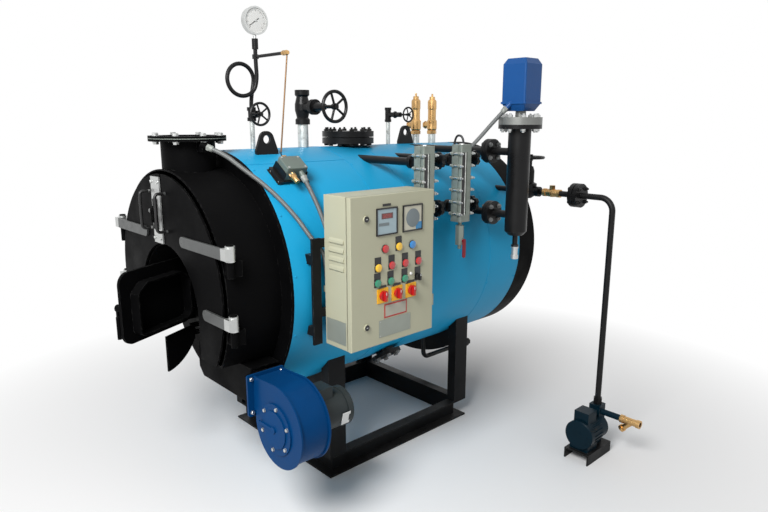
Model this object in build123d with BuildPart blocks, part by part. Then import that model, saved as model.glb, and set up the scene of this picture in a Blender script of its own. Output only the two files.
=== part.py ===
from build123d import *
import math
import os

os.makedirs("parts", exist_ok=True)

# Industrial steam boiler: a lagged horizontal drum on a channel skid, with a
# horseshoe smokebox and furnace mouth at its front (-Y), its control panel,
# level gauges and float chamber on the right (+X), and a feed pump on the
# floor beside it. Millimetres, +Z up. The origin is on the floor, below the
# middle of the front cross beam.

# Skid and legs
skid_width, skid_length = 800, 915
beam_height, beam_flange = 100, 50
web_thickness, flange_thickness = 6, 8
front_beam_y = -25            # outer edge of the front beam
leg_width, leg_depth = 90, 50
saddle_thickness, saddle_drop = 10, 80

# Drum
axis_height = 900
shell_radius, lagging = 528, 60
shell_front, shell_length = -275, 1414
end_plate_thickness = 12
rear_cover_length, rear_cover_wall, rear_edge_radius = 143, 8, 14
tube_radius, tube_outer_row, tube_inner_row = 23, 402, 326
tube_outer_count, tube_inner_count, tube_row_span = 11, 9, 160

# Furnace and its front
furnace_height, furnace_radius, furnace_wall, furnace_depth = 730, 225, 10, 1150
fire_front_radius, fire_front_thickness = 245, 18
fire_opening_width, fire_opening_low, fire_opening_high, fire_opening_corner = 330, 690, 930, 40
ash_opening_radius, ash_opening_high, ash_bridge = 215, 636, 22
leaf_gap = 6                  # between a furnace leaf and the front that it closes
fire_door_left, fire_door_right, fire_door_low, fire_door_high = -198, 205, 672, 968
fire_door_thickness, fire_door_corner = 12, 50
pan_depth, pan_clearance, pan_wall, pan_corner = 42, 12, 6, 30
furnace_pin_forward, furnace_pin_radius, furnace_knuckle_radius = 34, 7, 13
fire_pin_x, fire_pin_low, fire_pin_high = -215, 700, 850
fire_knuckle_length, lug_height, lug_half_width = 44, 16, 12
pin_clearance, knuckle_play, seat_gap = 0.05, 0.6, 0.3
furnace_strap_height, furnace_strap_length, furnace_strap_thickness = 30, 150, 6
fire_door_open = 66           # degrees, as it stands
latch_from_edge, latch_hub_radius, latch_hub_length = 24, 15, 34
latch_height, latch_grip_length, latch_grip_radius, latch_arm = 822, 92, 9, 38
ash_pin_x, ash_pin_low, ash_pin_high = -206, 590, 642
ash_leaf_radius, ash_leaf_high, ash_leaf_thickness, ash_leaf_edge, ash_leaf_inset = 240, 648, 8, 3, 17
ash_strap_length, ash_strap_height = 70, 16
ash_door_open = 64

# Smokebox
smokebox_radius, smokebox_wall = 462, 6
smokebox_front, smokebox_bottom = -511, 650
mouth_radius, mouth_height = 250, 810
smoke_door_radius, smoke_door_thickness, smoke_door_gap = 444, 8, 6
smoke_mouth_margin, seam_gap = 6, 5
hinge_x, hinge_y = 484, -505
strap_height, strap_thickness = 42, 8
upper_strap_z, lower_strap_z = 1098, 845
upper_strap_inner, lower_strap_inner = 150, 305
knuckle_radius, knuckle_height = 17, 56
hinge_pin_radius, hinge_sleeve_radius, hinge_sleeve_length = 9, 13, 58
post_foot, post_root_x, pin_head = 45, 425, 5
strip_width, strip_right, strip_top, strip_bottom, strip_thickness = 76, -4, 1332, 1066, 6
handle_rod, handle_stand_off, handle_length, handle_bend_radius = 6, 42, 150, 14
handle_z, left_handle_x, right_handle_x = 1196, -108, 36

# Chimney stub
stub_radius, stub_wall, stub_y = 105, 6, -400
stub_flange_radius, stub_flange_thickness, stub_gasket, stub_top = 150, 9, 3, 1478
stub_bolts, stub_bolt_circle, stub_bolt_hole = 8, 131, 7
sensor_left, sensor_right, sensor_width, sensor_low, sensor_high = 100, 150, 30, 1430, 1466

# Wind box and blower
wind_left, wind_right, wind_front, wind_low, wind_high = 34, 450, -428, 500, 644
wind_wall, wind_bevel = 5, 34
blower_flange, blower_flange_thickness, blower_flange_corner = 164, 9, 8
blower_flange_y, blower_flange_z = -372, 545
outlet_width, outlet_high, outlet_low = 112, 614, 486
blower_x, blower_z = 612, 462
scroll_start_radius, scroll_end_radius = 128, 160
scroll_start_angle, scroll_end_angle, scroll_points = 168, 450, 11
scroll_front, scroll_width, scroll_edge = -428, 128, 7
inlet_radius, inlet_lip, inlet_bore, inlet_depth = 96, 6, 62, 60
damper_radius, damper_thickness, damper_lever = 70, 5, 96
motor_radius, motor_length, motor_bell, motor_rib = 74, 176, 28, 4
motor_box, motor_box_height = 74, 34

# Control panel
panel_back, panel_front, panel_low, panel_high = 550, 702, 702, 1282
panel_left_y, panel_right_y = -147, 289
panel_wall, panel_door_depth, panel_door_gap, panel_door_skin = 4, 20, 5, 3
panel_edge_radius = 3
panel_pin_offset, panel_pin_radius, panel_knuckle_radius, panel_knuckle_length = 7, 3.5, 6.5, 46
panel_hinge_heights = (800, 1184)
post_width, post_thickness, rail_height = 40, 10, 34
panel_post_ys = (-185, 258)
panel_post_low, panel_post_high = 706, 1120
panel_rail_zs = (830, 1100)
pad_height, pad_heights = 36, (760, 1040)
meter_width, meter_height, meter_depth, meter_z = 108, 114, 5, 1180
meter_ys = (30, 166)
meter_window_inset, meter_window_depth = 4, 2
lamp_radius, lamp_length, lamp_ring_radius, lamp_ring_depth = 13, 12, 16, 4
lamp_places = ((21, 1076), (92, 1076), (165, 1074), (-15, 1008), (55, 1008), (127, 1006), (200, 1004),
               (-18, 948), (50, 946), (125, 944))
tag_width, tag_height, tag_depth, tag_above = 30, 20, 1.5, 31
tag_places = ((92, 1076), (-15, 1008), (55, 1008), (127, 1006), (200, 1004),
              (-18, 948), (50, 946), (125, 944), (198, 940))
isolator_places = ((8, 897), (84, 894), (160, 892))
isolator_plate, isolator_plate_depth, isolator_radius, isolator_depth = 48, 4, 19, 20
isolator_grip_width, isolator_grip_length = 10, 40
selector_place, selector_radius, selector_depth = (198, 940), 13, 16
selector_base_radius, selector_base_depth = 17, 4
lock_radius, lock_depth, lock_y, lock_zs = 13, 6, -74, (1198, 786)
knob_gap = 0.5

# Fittings along the top of the drum
gauge_y, gauge_pipe_radius, gauge_pipe_top = -103, 10.5, 1545
steam_y, steam_pipe_radius, steam_pipe_top = 162, 24, 1530
vent_y, vent_pipe_radius, vent_pipe_top = 695, 10.7, 1540
safety_ys, safety_pipe_radius, safety_pipe_top = (898, 1024), 20, 1476
root_depth = 90               # how far a nozzle starts inside the drum's outline before it is cut
gauge_valve_height, gauge_valve_radius, gauge_stem_reach = 58, 15, 50
siphon_radius, siphon_loop, siphon_loop_z, siphon_cross, siphon_top = 8.5, 65, 1713, 10, 1838
siphon_riser_x = 24
branch_z, branch_radius, branch_reach = 1808, 6.5, 232
branch_fitting_radius, branch_fitting_length = 9, 26
socket_radius, socket_length, gauge_stub_radius, gauge_stub_length = 13, 42, 7, 16
dial_radius, dial_depth, dial_bezel, dial_recess = 54, 34, 5, 4
capillary_x, capillary_radius, capillary_bend_radius = 256, 2.5, 14
steam_valve_length, steam_valve_body, steam_valve_end, steam_end_length = 152, 34, 33, 22
steam_bonnet_radius, steam_bonnet_flange, steam_bonnet_length = 22, 34, 66
steam_body_reach, steam_stem_radius, steam_wheel_x = 60, 8, 236
vent_valve_length, vent_valve_radius, vent_end_radius, vent_end_length = 72, 15, 17, 13
vent_bonnet_radius, vent_bonnet_reach, vent_stem_radius, vent_wheel_x = 12, 92, 4.5, 146
manhole_y, manhole_neck, manhole_neck_top = 428, 52, 1440
manhole_flange_radius, manhole_flange_thickness, manhole_gasket = 125, 27, 4
lug_base, lug_tip_radius, lug_hole, lug_hole_up, lug_thickness, lug_root = 105, 34, 17, 60, 14, 40
front_lug_x, front_lug_y, rear_lug_y = 130, -118, 818

siphon_offset, siphon_start, siphon_points = 16, -20, 12
safety_hex, safety_outlet_radius, safety_outlet_bore, safety_outlet_reach, safety_lip = 27, 17, 12, 44, 4
safety_levels = (1494, 1524)  # top of the hexagon foot, axis of the side outlet
safety_outline = ((21, 1494), (27, 1502), (27, 1545), (22, 1552), (22, 1604), (24, 1610), (24, 1648), (20, 1656),
                  (15, 1658), (15, 1672), (5, 1674), (5, 1688))

# Handwheels: (rim radius, rim half height, rim half width, hub radius, spokes)
steam_wheel_radius, gauge_wheel_radius, vent_wheel_radius, feed_wheel_radius, cock_wheel_radius = 70, 50, 38, 66, 37
rim_share, hub_share, spoke_share = 0.1, 0.2, 0.075
wheel_spokes, cock_lobes = 5, 6
wheel_play = 0.4              # between a wheel's hub and its stem's shoulder
stem_nut_radius_share, stem_nut_length = 0.16, 8

# Pressure switch
switch_angle, switch_y, switch_stand = 35, -132, 12
switch_across, switch_along, switch_height, switch_corner = 78, 96, 58, 6
switch_bracket_across, switch_bracket_along, switch_bracket_thickness = 96, 120, 3
switch_gland_out = 22         # how far the gland and the fitting sit from the box's middle, along Y
switch_fitting_radius, switch_fitting_length, switch_gland_radius, switch_gland_length = 13, 26, 10, 20

# Level gauges and float chamber
gauge_x, level_gauge_ys = 600, (337, 572)
level_depth, level_width, level_low, level_high = 58, 66, 1110, 1446
level_cover, level_groove, level_groove_depth, level_slot_width, level_slot_inset, level_slot_depth = 16, 3, 5, 12, 30, 6
level_corner = 4
arm_high, arm_low = 1378, 1172
arm_block, arm_flange_radius, arm_flange_thickness, arm_flange_gap = 34, 28, 9, 2
cock_stem_radius, cock_collar_radius, cock_collar_length, cock_wheel_out = 7, 15, 40, 126
gasket_share = 0.62
cock_wheel_thickness, cock_scallop, cock_scallop_out = 18, 12, 6
water_pipe_radius = 17
drain_radius, drain_neck_radius, drain_low, drain_high, drain_tip = 20, 8, 1004, 1092, 985
lever_z, lever_boss_radius, lever_boss_length, lever_width, lever_thickness, lever_length = 1024, 8, 10, 18, 5, 86
chamber_x, chamber_y, chamber_radius, chamber_low, chamber_high = 730, 810, 50, 1036, 1512
chamber_cap_radius = 18
chamber_flange_radius, chamber_flange_thickness, head_flange_thickness = 95, 18, 32
head_neck_radius = 23
housing_low, housing_taper, housing_high, housing_cap = 1588, 30, 1785, 24
housing_side, housing_corner, housing_base_share, housing_top_share = 122, 7, 0.72, 0.78
housing_rim_height, housing_rim_out = 9, 4
gland_radius, housing_gland_length = 11, 44
chamber_pipe_radius, chamber_pipe_high, chamber_pipe_low = 17, 1410, 1125
pair_radius, pair_thickness, pair_gap, pair_high_x, pair_low_x = 55, 16, 3, 574, 590
chamber_drain_radius, chamber_drain_length = 12, 45
drain_valve_radius, drain_valve_length, drain_valve_end = 14, 66, 17

# Feed line and pump
feed_y, feed_z, feed_pipe_radius = 1065, 1210, 13.5
feed_valve_x, feed_valve_half, feed_valve_body, feed_end_radius, feed_end_length = 622, 60, 36, 24, 22
feed_bonnet_radius, feed_bonnet_flange, feed_bonnet_top, feed_wheel_z, feed_stem_radius = 20, 34, 1330, 1372, 7
check_x, check_half, check_radius, check_end_radius, check_end_length, check_cap_radius, check_cap_rise = 750, 46, 20, 19, 16, 15, 36
feed_pair_x, feed_pair_radius, feed_pair_thickness, feed_pair_gap = 884, 55, 20, 4
riser_x, riser_bend_radius = 1060, 60
union_top, union_length, union_radius = 268, 30, 21
pump_base_width, pump_base_length, pump_base_height, pump_base_wall, pump_base_front = 121, 210, 50, 6, 896
pump_axis_z, pump_motor_radius, pump_motor_front, pump_motor_back = 128, 66, 906, 1020
pump_fan_radius, pump_fan_length, pump_fin, pump_fins = 69, 30, 4, 20
pump_head_radius, pump_head_length, pump_foot_width, pump_foot_length = 60, 56, 92, 84
port_width = 54
pump_box, pump_box_height, pump_box_y = 72, 44, 958
suction_z, suction_radius, suction_end = 204, 14, 1180
strainer_length, strainer_radius, strainer_end_radius, strainer_end_length = 92, 16, 19, 16
brass_wall = 3                # of the check valve and the strainer
strainer_leg_radius, strainer_leg_length, strainer_cap_radius, strainer_cap_length = 13, 44, 17, 14

# Below the drum
handhole_angle, handhole_y, handhole_neck, handhole_flange, handhole_thickness, handhole_stand = 144, 382, 44, 72, 17, 14
blow_x, blow_y, blow_radius, blow_low, blow_bend_radius = 200, 770, 12, 300, 36
blow_end_y, blow_collar_radius, blow_collar_length = 1060, 20, 18
blow_valve_radius, blow_valve_length = 24, 84

# Free cords: radius of each, and the points of its route
conduit_radius, cable_radius, run_share = 9, 3.6, 0.45
flue_route = [(167, -400, 1448), (228, -368, 1425), (290, -330, 1372), (366, -268, 1303), (454, -210, 1201),
              (508, -171, 1107), (539.5, -130, 1048), (539.5, -130, 930)]
switch_run = [(428, -104, 1264), (480, -100, 1180), (520, -94, 1090), (539.5, -88, 1026), (539.5, -88, 930)]
controller_route = [(701, 742, 1600), (664, 704, 1542), (632, 668, 1485), (598, 634, 1432), (570, 622, 1404)]
cable_route = [(602, 580, 1446), (602, 580, 1494), (551, 572, 1494), (551, 572, 1395)]
elbow_width, elbow_height, elbow_depth = 20, 25, 19

# Made from the sizes above
shell_end = shell_front + shell_length
plate_front = shell_front - end_plate_thickness
fire_front_face = plate_front - fire_front_thickness
furnace_pin_y = fire_front_face - furnace_pin_forward
leaf_back = fire_front_face - leaf_gap
door_back = smokebox_front - smoke_door_gap
door_face = door_back - smoke_door_thickness
skid_rear = front_beam_y + skid_length
drum_inner = shell_radius - lagging
crown = axis_height + shell_radius


def facing_front(y):
    """Local x is X and local y is Z; a negative extrusion goes back along +Y."""
    return Plane(origin=(0, y, 0), x_dir=(1, 0, 0), z_dir=(0, -1, 0))


def facing_right(x):
    """Local x is Y and local y is Z; an extrusion goes out along +X."""
    return Plane(origin=(x, 0, 0), x_dir=(0, 1, 0), z_dir=(1, 0, 0))


def rod(start, direction, radius, length, bore=0, mode=Mode.ADD):
    """A round bar, or a tube where it has a bore, from a point along a direction."""
    with BuildSketch(Plane(origin=start, z_dir=direction)) as ring:
        Circle(radius)
        if bore:
            Circle(bore, mode=Mode.SUBTRACT)
    extrude(ring.sketch, amount=length, mode=mode)


def hexagon(start, direction, radius, length, mode=Mode.ADD):
    """A hexagon bar or nut, its corners at the radius."""
    with BuildSketch(Plane(origin=start, z_dir=direction)) as flats:
        RegularPolygon(radius=radius, side_count=6)
    extrude(flats.sketch, amount=length, mode=mode)


def block(low, high, mode=Mode.ADD):
    """A plain block between two opposite corners, given in either order."""
    size = [abs(b - a) for a, b in zip(low, high)]
    with Locations(tuple((a + b) / 2 for a, b in zip(low, high))):
        Box(*size, mode=mode)


def turned(outline, origin, direction, mode=Mode.ADD):
    """A turned piece: (radius, height) points about an axis that starts at the origin point."""
    base = Plane(origin=origin, z_dir=direction)
    with BuildSketch(Plane(origin=origin, x_dir=base.x_dir, z_dir=-base.y_dir)) as profile:
        with BuildLine():
            Polyline(*outline, close=True)
        make_face()
    revolve(profile.sketch, axis=Axis(origin, direction), mode=mode)


def pipe(points, radius, bends=None):
    """A round bar along straight runs, with the given radii at its bends."""
    with BuildLine() as run:
        if bends:
            FilletPolyline(*points, radius=bends)
        else:
            Polyline(*points)
    with BuildSketch(Plane(origin=run.line @ 0, z_dir=run.line % 0)) as section:
        Circle(radius)
    sweep(section.sketch, path=run.line)


def drum_cut(radius):
    """Take away what lies inside a cylinder about the drum's axis."""
    rod((0, smokebox_front - smokebox_radius, axis_height), (0, 1, 0), radius,
        shell_length + shell_length, mode=Mode.SUBTRACT)


def flange_pair(centre, direction, radius, thickness, gap, bore=0):
    """Two flanges face to face, with their gasket, inside the bolts, between them."""
    along = Vector(*direction)
    middle = Vector(*centre)
    for start in (middle - along * (gap / 2 + thickness), middle + along * (gap / 2)):
        rod(tuple(start), direction, radius, thickness, bore)
    rod(tuple(middle - along * gap / 2), direction, radius * gasket_share, gap, bore)


def handwheel(centre, direction, radius, spokes):
    """A spoked wheel about an axis, with a waisted hub and an eight-sided rim section."""
    along = Vector(*direction)
    rim, hub, spoke = radius * rim_share, radius * hub_share, radius * spoke_share
    mean = radius - rim
    corner = rim * math.tan(math.radians(22.5))
    section = [(mean + rim, -corner), (mean + rim, corner), (mean + corner, rim), (mean - corner, rim),
               (mean - rim, corner), (mean - rim, -corner), (mean - corner, -rim), (mean + corner, -rim)]
    turned(section, centre, direction)
    rod(tuple(Vector(*centre) - along * (hub / 2)), direction, hub, hub)
    base = Plane(origin=centre, z_dir=direction)
    for i in range(spokes):
        turn = math.radians(360 * i / spokes + 90)
        out = base.x_dir * math.cos(turn) + base.y_dir * math.sin(turn)
        rod(centre, tuple(out), spoke, mean)


def stem_hole(centre, direction, radius, reach):
    """The hole in a wheel's hub for the stem that it turns on."""
    along = Vector(*direction)
    rod(tuple(Vector(*centre) - along * reach), direction, radius + pin_clearance, reach + reach,
        mode=Mode.SUBTRACT)


def horseshoe(plane, radius, mouth, bottom):
    """The smokebox section: a disc with a flat foot and the arched furnace mouth cut out of it."""
    with BuildSketch(plane) as outline:
        with Locations((0, axis_height)):
            Circle(radius)
        with Locations((0, bottom)):
            Rectangle(radius + radius, radius + radius, align=(Align.CENTER, Align.MAX), mode=Mode.SUBTRACT)
        with Locations((0, mouth_height)):
            Circle(mouth, mode=Mode.SUBTRACT)
            Rectangle(mouth + mouth, mouth_height, align=(Align.CENTER, Align.MAX), mode=Mode.SUBTRACT)
    return outline.sketch


def side_wheel(centre, direction, radius, stem):
    """A handwheel with the hole for its stem."""
    handwheel(centre, direction, radius, wheel_spokes)
    stem_hole(centre, direction, stem, radius)


def stem_and_nut(start, direction, wheel_centre, wheel_radius, stem):
    """A valve stem with a shoulder behind the wheel's hub and a nut before it."""
    along = Vector(*direction)
    begin, middle = Vector(*start), Vector(*wheel_centre)
    hub = wheel_radius * hub_share / 2 + wheel_play
    rod(start, direction, stem, (middle - begin).length + hub)
    rod(tuple(middle - along * (hub + stem_nut_length)), direction, wheel_radius * stem_nut_radius_share,
        stem_nut_length)
    hexagon(tuple(middle + along * hub), direction, wheel_radius * stem_nut_radius_share, stem_nut_length)


def at_angle(angle, radius):
    """X and Z of a point about the drum's axis, the angle measured from the crown toward +X."""
    turn = math.radians(angle)
    return radius * math.sin(turn), axis_height + radius * math.cos(turn)


def route_gland(points, length):
    """The gland that a cord's route starts from: a short bar that runs back along the first run."""
    along = (Vector(*points[0]) - Vector(*points[1])).normalized()
    rod(points[0], tuple(along), gland_radius, length)


def cord(label, points, radius):
    """A hanging cord: straight runs joined by wide arcs. Prints its tightest bend and its length."""
    bends = []
    for a, b, c in zip(points, points[1:], points[2:]):
        before, after = Vector(*b) - Vector(*a), Vector(*c) - Vector(*b)
        half = math.radians(before.get_angle(after)) / 2
        bends.append(run_share * min(before.length, after.length) / math.tan(half))
    with BuildPart() as strand:
        pipe(points, radius, bends)
    print(label, "tightest bend", round(min(bends)), "radius", radius,
          "length", round(strand.part.volume / (math.pi * radius ** 2)))
    finish(strand.part, label)


def finish(piece, label):
    """Name the piece and write it out."""
    piece.label = label
    export_step(piece, "parts/" + label + ".step")


# The skid: a mitred ring of channel, its flanges outward, with four channel legs and
# the two saddle plates that cradle the drum between them.
with BuildPart() as skid_frame:
    for outer, low, high in ((0, 0, flange_thickness),
                             (beam_flange - web_thickness, 0, beam_height),
                             (0, beam_height - flange_thickness, beam_height)):
        with BuildSketch(Plane.XY.offset(low)):
            with Locations((0, front_beam_y + skid_length / 2)):
                Rectangle(skid_width - 2 * outer, skid_length - 2 * outer)
                Rectangle(skid_width - 2 * beam_flange, skid_length - 2 * beam_flange, mode=Mode.SUBTRACT)
        extrude(amount=high - low)
    for y in (front_beam_y + leg_width / 2, skid_rear - leg_width / 2):
        for side in (-1, 1):
            edge = side * skid_width / 2
            with BuildSketch(Plane.XY.offset(beam_height)):
                with Locations((edge - side * leg_depth / 2, y)):
                    Rectangle(leg_depth, leg_width)
                with Locations((edge - side * (leg_depth + web_thickness) / 2, y)):
                    Rectangle(leg_depth - web_thickness, leg_width - 2 * flange_thickness, mode=Mode.SUBTRACT)
            extrude(amount=axis_height - beam_height - furnace_radius)
        with BuildSketch(facing_front(y - saddle_thickness / 2)):
            with Locations((0, axis_height)):
                Circle(shell_radius + saddle_drop)
            with Locations((0, axis_height - shell_radius / 2)):
                Rectangle(skid_width - 2 * web_thickness, axis_height + axis_height,
                          align=(Align.CENTER, Align.MAX), mode=Mode.INTERSECT)
        extrude(amount=-saddle_thickness)
    drum_cut(shell_radius + seat_gap)
finish(skid_frame.part, "skid_frame")

# The drum: its lagged barrel, the black rear cover and the front tube plate.
with BuildPart() as lagged_shell:
    rod((0, shell_front, axis_height), (0, 1, 0), shell_radius, shell_length, drum_inner)
finish(lagged_shell.part, "lagged_shell")

with BuildPart() as rear_cover:
    rod((0, shell_end, axis_height), (0, 1, 0), shell_radius, rear_cover_length)
    fillet(rear_cover.edges().sort_by(Axis.Y)[-1], radius=rear_edge_radius)
    rod((0, shell_end + end_plate_thickness, axis_height), (0, 1, 0), shell_radius - rear_cover_wall,
        rear_cover_length - rear_cover_wall - end_plate_thickness, mode=Mode.SUBTRACT)
finish(rear_cover.part, "rear_cover")

tube_angles = [(tube_outer_row, -tube_row_span / 2 + tube_row_span * i / (tube_outer_count - 1))
               for i in range(tube_outer_count)]
tube_angles += [(tube_inner_row, -tube_row_span / 2 + tube_row_span * i / (tube_inner_count - 1))
                for i in range(tube_inner_count)]
with BuildPart() as tube_plate:
    rod((0, plate_front, axis_height), (0, 1, 0), shell_radius, end_plate_thickness)
    rod((0, plate_front, furnace_height), (0, 1, 0), furnace_radius + furnace_wall + seat_gap,
        end_plate_thickness, mode=Mode.SUBTRACT)
    with BuildSketch(facing_front(plate_front)):
        for row, angle in tube_angles:
            turn = math.radians(angle)
            with Locations((row * math.sin(turn), axis_height + row * math.cos(turn))):
                Circle(tube_radius)
    extrude(amount=-end_plate_thickness, mode=Mode.SUBTRACT)
finish(tube_plate.part, "tube_plate")

def furnace_hinge(pin_x, low, high):
    """The fixed half of a furnace leaf's hinge: a pin between two lugs that stand off the front."""
    rod((pin_x, furnace_pin_y, low), (0, 0, 1), furnace_pin_radius, high - low)
    for z in (low, high - lug_height):
        rod((pin_x, furnace_pin_y, z), (0, 0, 1), lug_half_width, lug_height)
        block((pin_x - lug_half_width, furnace_pin_y, z), (pin_x + lug_half_width, fire_front_face, z + lug_height))


def leaf_knuckles(pin_x, heights, length, strap_high, leaf_front, strap_long):
    """The moving half: knuckles on the pin, each with a strap that runs onto the leaf's face."""
    for z in heights:
        middle = z + (length - strap_high) / 2
        rod((pin_x, furnace_pin_y, z), (0, 0, 1), furnace_knuckle_radius, length)
        block((pin_x, furnace_pin_y, middle), (pin_x + furnace_knuckle_radius, leaf_front, middle + strap_high))
        block((pin_x, leaf_front - furnace_strap_thickness, middle), (pin_x + strap_long, leaf_front, middle + strap_high))
        rod((pin_x, furnace_pin_y, z), (0, 0, 1), furnace_pin_radius + pin_clearance, length, mode=Mode.SUBTRACT)


# The furnace: the flue tube, and the thick front with its fire and ash openings.
with BuildPart() as furnace:
    rod((0, plate_front, furnace_height), (0, 1, 0), furnace_radius + furnace_wall, furnace_depth, furnace_radius)
    rod((0, plate_front + furnace_depth, furnace_height), (0, 1, 0), furnace_radius + furnace_wall, furnace_wall)
    with BuildSketch(facing_front(fire_front_face)):
        with Locations((0, furnace_height)):
            Circle(fire_front_radius)
        with Locations((0, (fire_opening_low + fire_opening_high) / 2)):
            RectangleRounded(fire_opening_width, fire_opening_high - fire_opening_low, fire_opening_corner,
                             mode=Mode.SUBTRACT)
    extrude(amount=-fire_front_thickness)
    with BuildSketch(facing_front(fire_front_face)):
        with Locations((0, furnace_height)):
            Circle(ash_opening_radius)
        with Locations((0, ash_opening_high)):
            Rectangle(skid_width, skid_width, align=(Align.CENTER, Align.MAX), mode=Mode.INTERSECT)
        with Locations((0, ash_opening_high)):
            Rectangle(ash_bridge, skid_width, align=(Align.CENTER, Align.MAX), mode=Mode.SUBTRACT)
    extrude(amount=-fire_front_thickness, mode=Mode.SUBTRACT)
    furnace_hinge(fire_pin_x, fire_pin_low, fire_pin_high)
    furnace_hinge(ash_pin_x, ash_pin_low, ash_pin_high)
finish(furnace.part, "furnace")



# The fire door: a plate with a deep lining pan, shaped closed and then swung open as it stands.
pan_left = -fire_opening_width / 2 + pan_clearance
pan_low, pan_high = fire_opening_low + pan_clearance, fire_opening_high - pan_clearance
door_front = leaf_back - fire_door_thickness
with BuildPart() as fire_door:
    with BuildSketch(facing_front(door_front)):
        with Locations(((fire_door_left + fire_door_right) / 2, (fire_door_low + fire_door_high) / 2)):
            RectangleRounded(fire_door_right - fire_door_left, fire_door_high - fire_door_low, fire_door_corner)
    extrude(amount=-fire_door_thickness)
    for inset, deep in ((0, pan_depth), (pan_wall, pan_depth)):
        with BuildSketch(facing_front(leaf_back)):
            with Locations((0, (pan_low + pan_high) / 2)):
                RectangleRounded(-2 * (pan_left + inset), pan_high - pan_low - 2 * inset, pan_corner)
            with Locations((0, furnace_height)):
                Circle(furnace_radius - pan_clearance - inset, mode=Mode.INTERSECT)
        extrude(amount=-deep, mode=Mode.SUBTRACT if inset else Mode.ADD)
    leaf_knuckles(fire_pin_x, (fire_pin_low + lug_height + knuckle_play,
                               fire_pin_high - lug_height - knuckle_play - fire_knuckle_length),
                  fire_knuckle_length, furnace_strap_height, door_front, furnace_strap_length)
fire_hinge = Axis((fire_pin_x, furnace_pin_y, 0), (0, 0, 1))
fire_door_piece = fire_door.part.rotate(fire_hinge, -fire_door_open)
finish(fire_door_piece, "fire_door")

# The fire door's latch: a hub through its free edge and a grip that hangs from an arm.
latch_x = fire_door_right - latch_from_edge
with BuildPart() as fire_latch:
    rod((latch_x, door_front - seat_gap - latch_hub_length, latch_height), (0, 1, 0), latch_hub_radius,
        latch_hub_length)
    block((latch_x - latch_grip_radius, door_front - latch_hub_length, latch_height - latch_arm),
          (latch_x + latch_grip_radius, door_front - latch_hub_length + latch_grip_radius, latch_height))
    rod((latch_x, door_front - latch_hub_length, latch_height - latch_arm), (0, 0, -1), latch_grip_radius,
        latch_grip_length)
fire_latch_piece = fire_latch.part.rotate(fire_hinge, -fire_door_open)
finish(fire_latch_piece, "fire_latch")

# The ash door: a quarter disc that closes the left half of the ash opening.
ash_front = leaf_back - ash_leaf_thickness
ash_knuckle_length = ash_pin_high - ash_pin_low - 2 * (lug_height + knuckle_play)
with BuildPart() as ash_door:
    with BuildSketch(facing_front(ash_front)):
        with Locations((0, furnace_height)):
            Circle(ash_leaf_radius)
        with Locations((0, ash_leaf_high)):
            Rectangle(skid_width, skid_width, align=(Align.CENTER, Align.MAX), mode=Mode.INTERSECT)
        with Locations((-ash_leaf_edge, 0)):
            Rectangle(-ash_pin_x - ash_leaf_edge - ash_leaf_inset, axis_height, align=(Align.MAX, Align.MIN),
                      mode=Mode.INTERSECT)
    extrude(amount=-ash_leaf_thickness)
    leaf_knuckles(ash_pin_x, (ash_pin_low + lug_height + knuckle_play,), ash_knuckle_length, ash_strap_height,
                  ash_front, ash_strap_length)
ash_hinge = Axis((ash_pin_x, furnace_pin_y, 0), (0, 0, 1))
ash_door_piece = ash_door.part.rotate(ash_hinge, -ash_door_open)
finish(ash_door_piece, "ash_door")

# The smokebox: a horseshoe box round the furnace mouth, closed at its back by the tube plate,
# with the blocks at its sides that hold the door pins.
with BuildPart() as smokebox:
    outside = horseshoe(facing_front(smokebox_front), smokebox_radius, mouth_radius, smokebox_bottom)
    extrude(outside, amount=smokebox_front - plate_front)
    inside = horseshoe(facing_front(smokebox_front), smokebox_radius - smokebox_wall,
                       mouth_radius + smokebox_wall, smokebox_bottom + smokebox_wall)
    extrude(inside, amount=smokebox_front - plate_front, mode=Mode.SUBTRACT)
    rod((0, stub_y, axis_height + smokebox_radius / 2), (0, 0, 1), stub_radius - stub_wall, smokebox_radius,
        mode=Mode.SUBTRACT)
    for side in (-1, 1):
        for z in (upper_strap_z, lower_strap_z):
            low = z - knuckle_height / 2 - hinge_sleeve_length - knuckle_play
            pin_foot = (side * hinge_x, hinge_y, low)
            rod(pin_foot, (0, 0, 1), hinge_sleeve_radius, hinge_sleeve_length)
            rod(pin_foot, (0, 0, 1), hinge_pin_radius,
                hinge_sleeve_length + knuckle_height + 2 * knuckle_play + pin_head)
            rod((side * hinge_x, hinge_y, z + knuckle_height / 2 + knuckle_play), (0, 0, 1), hinge_sleeve_radius,
                pin_head)
            block((side * post_root_x, hinge_y, low),
                  (side * hinge_x, hinge_y + post_foot, low + hinge_sleeve_length))
finish(smokebox.part, "smokebox")

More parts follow.
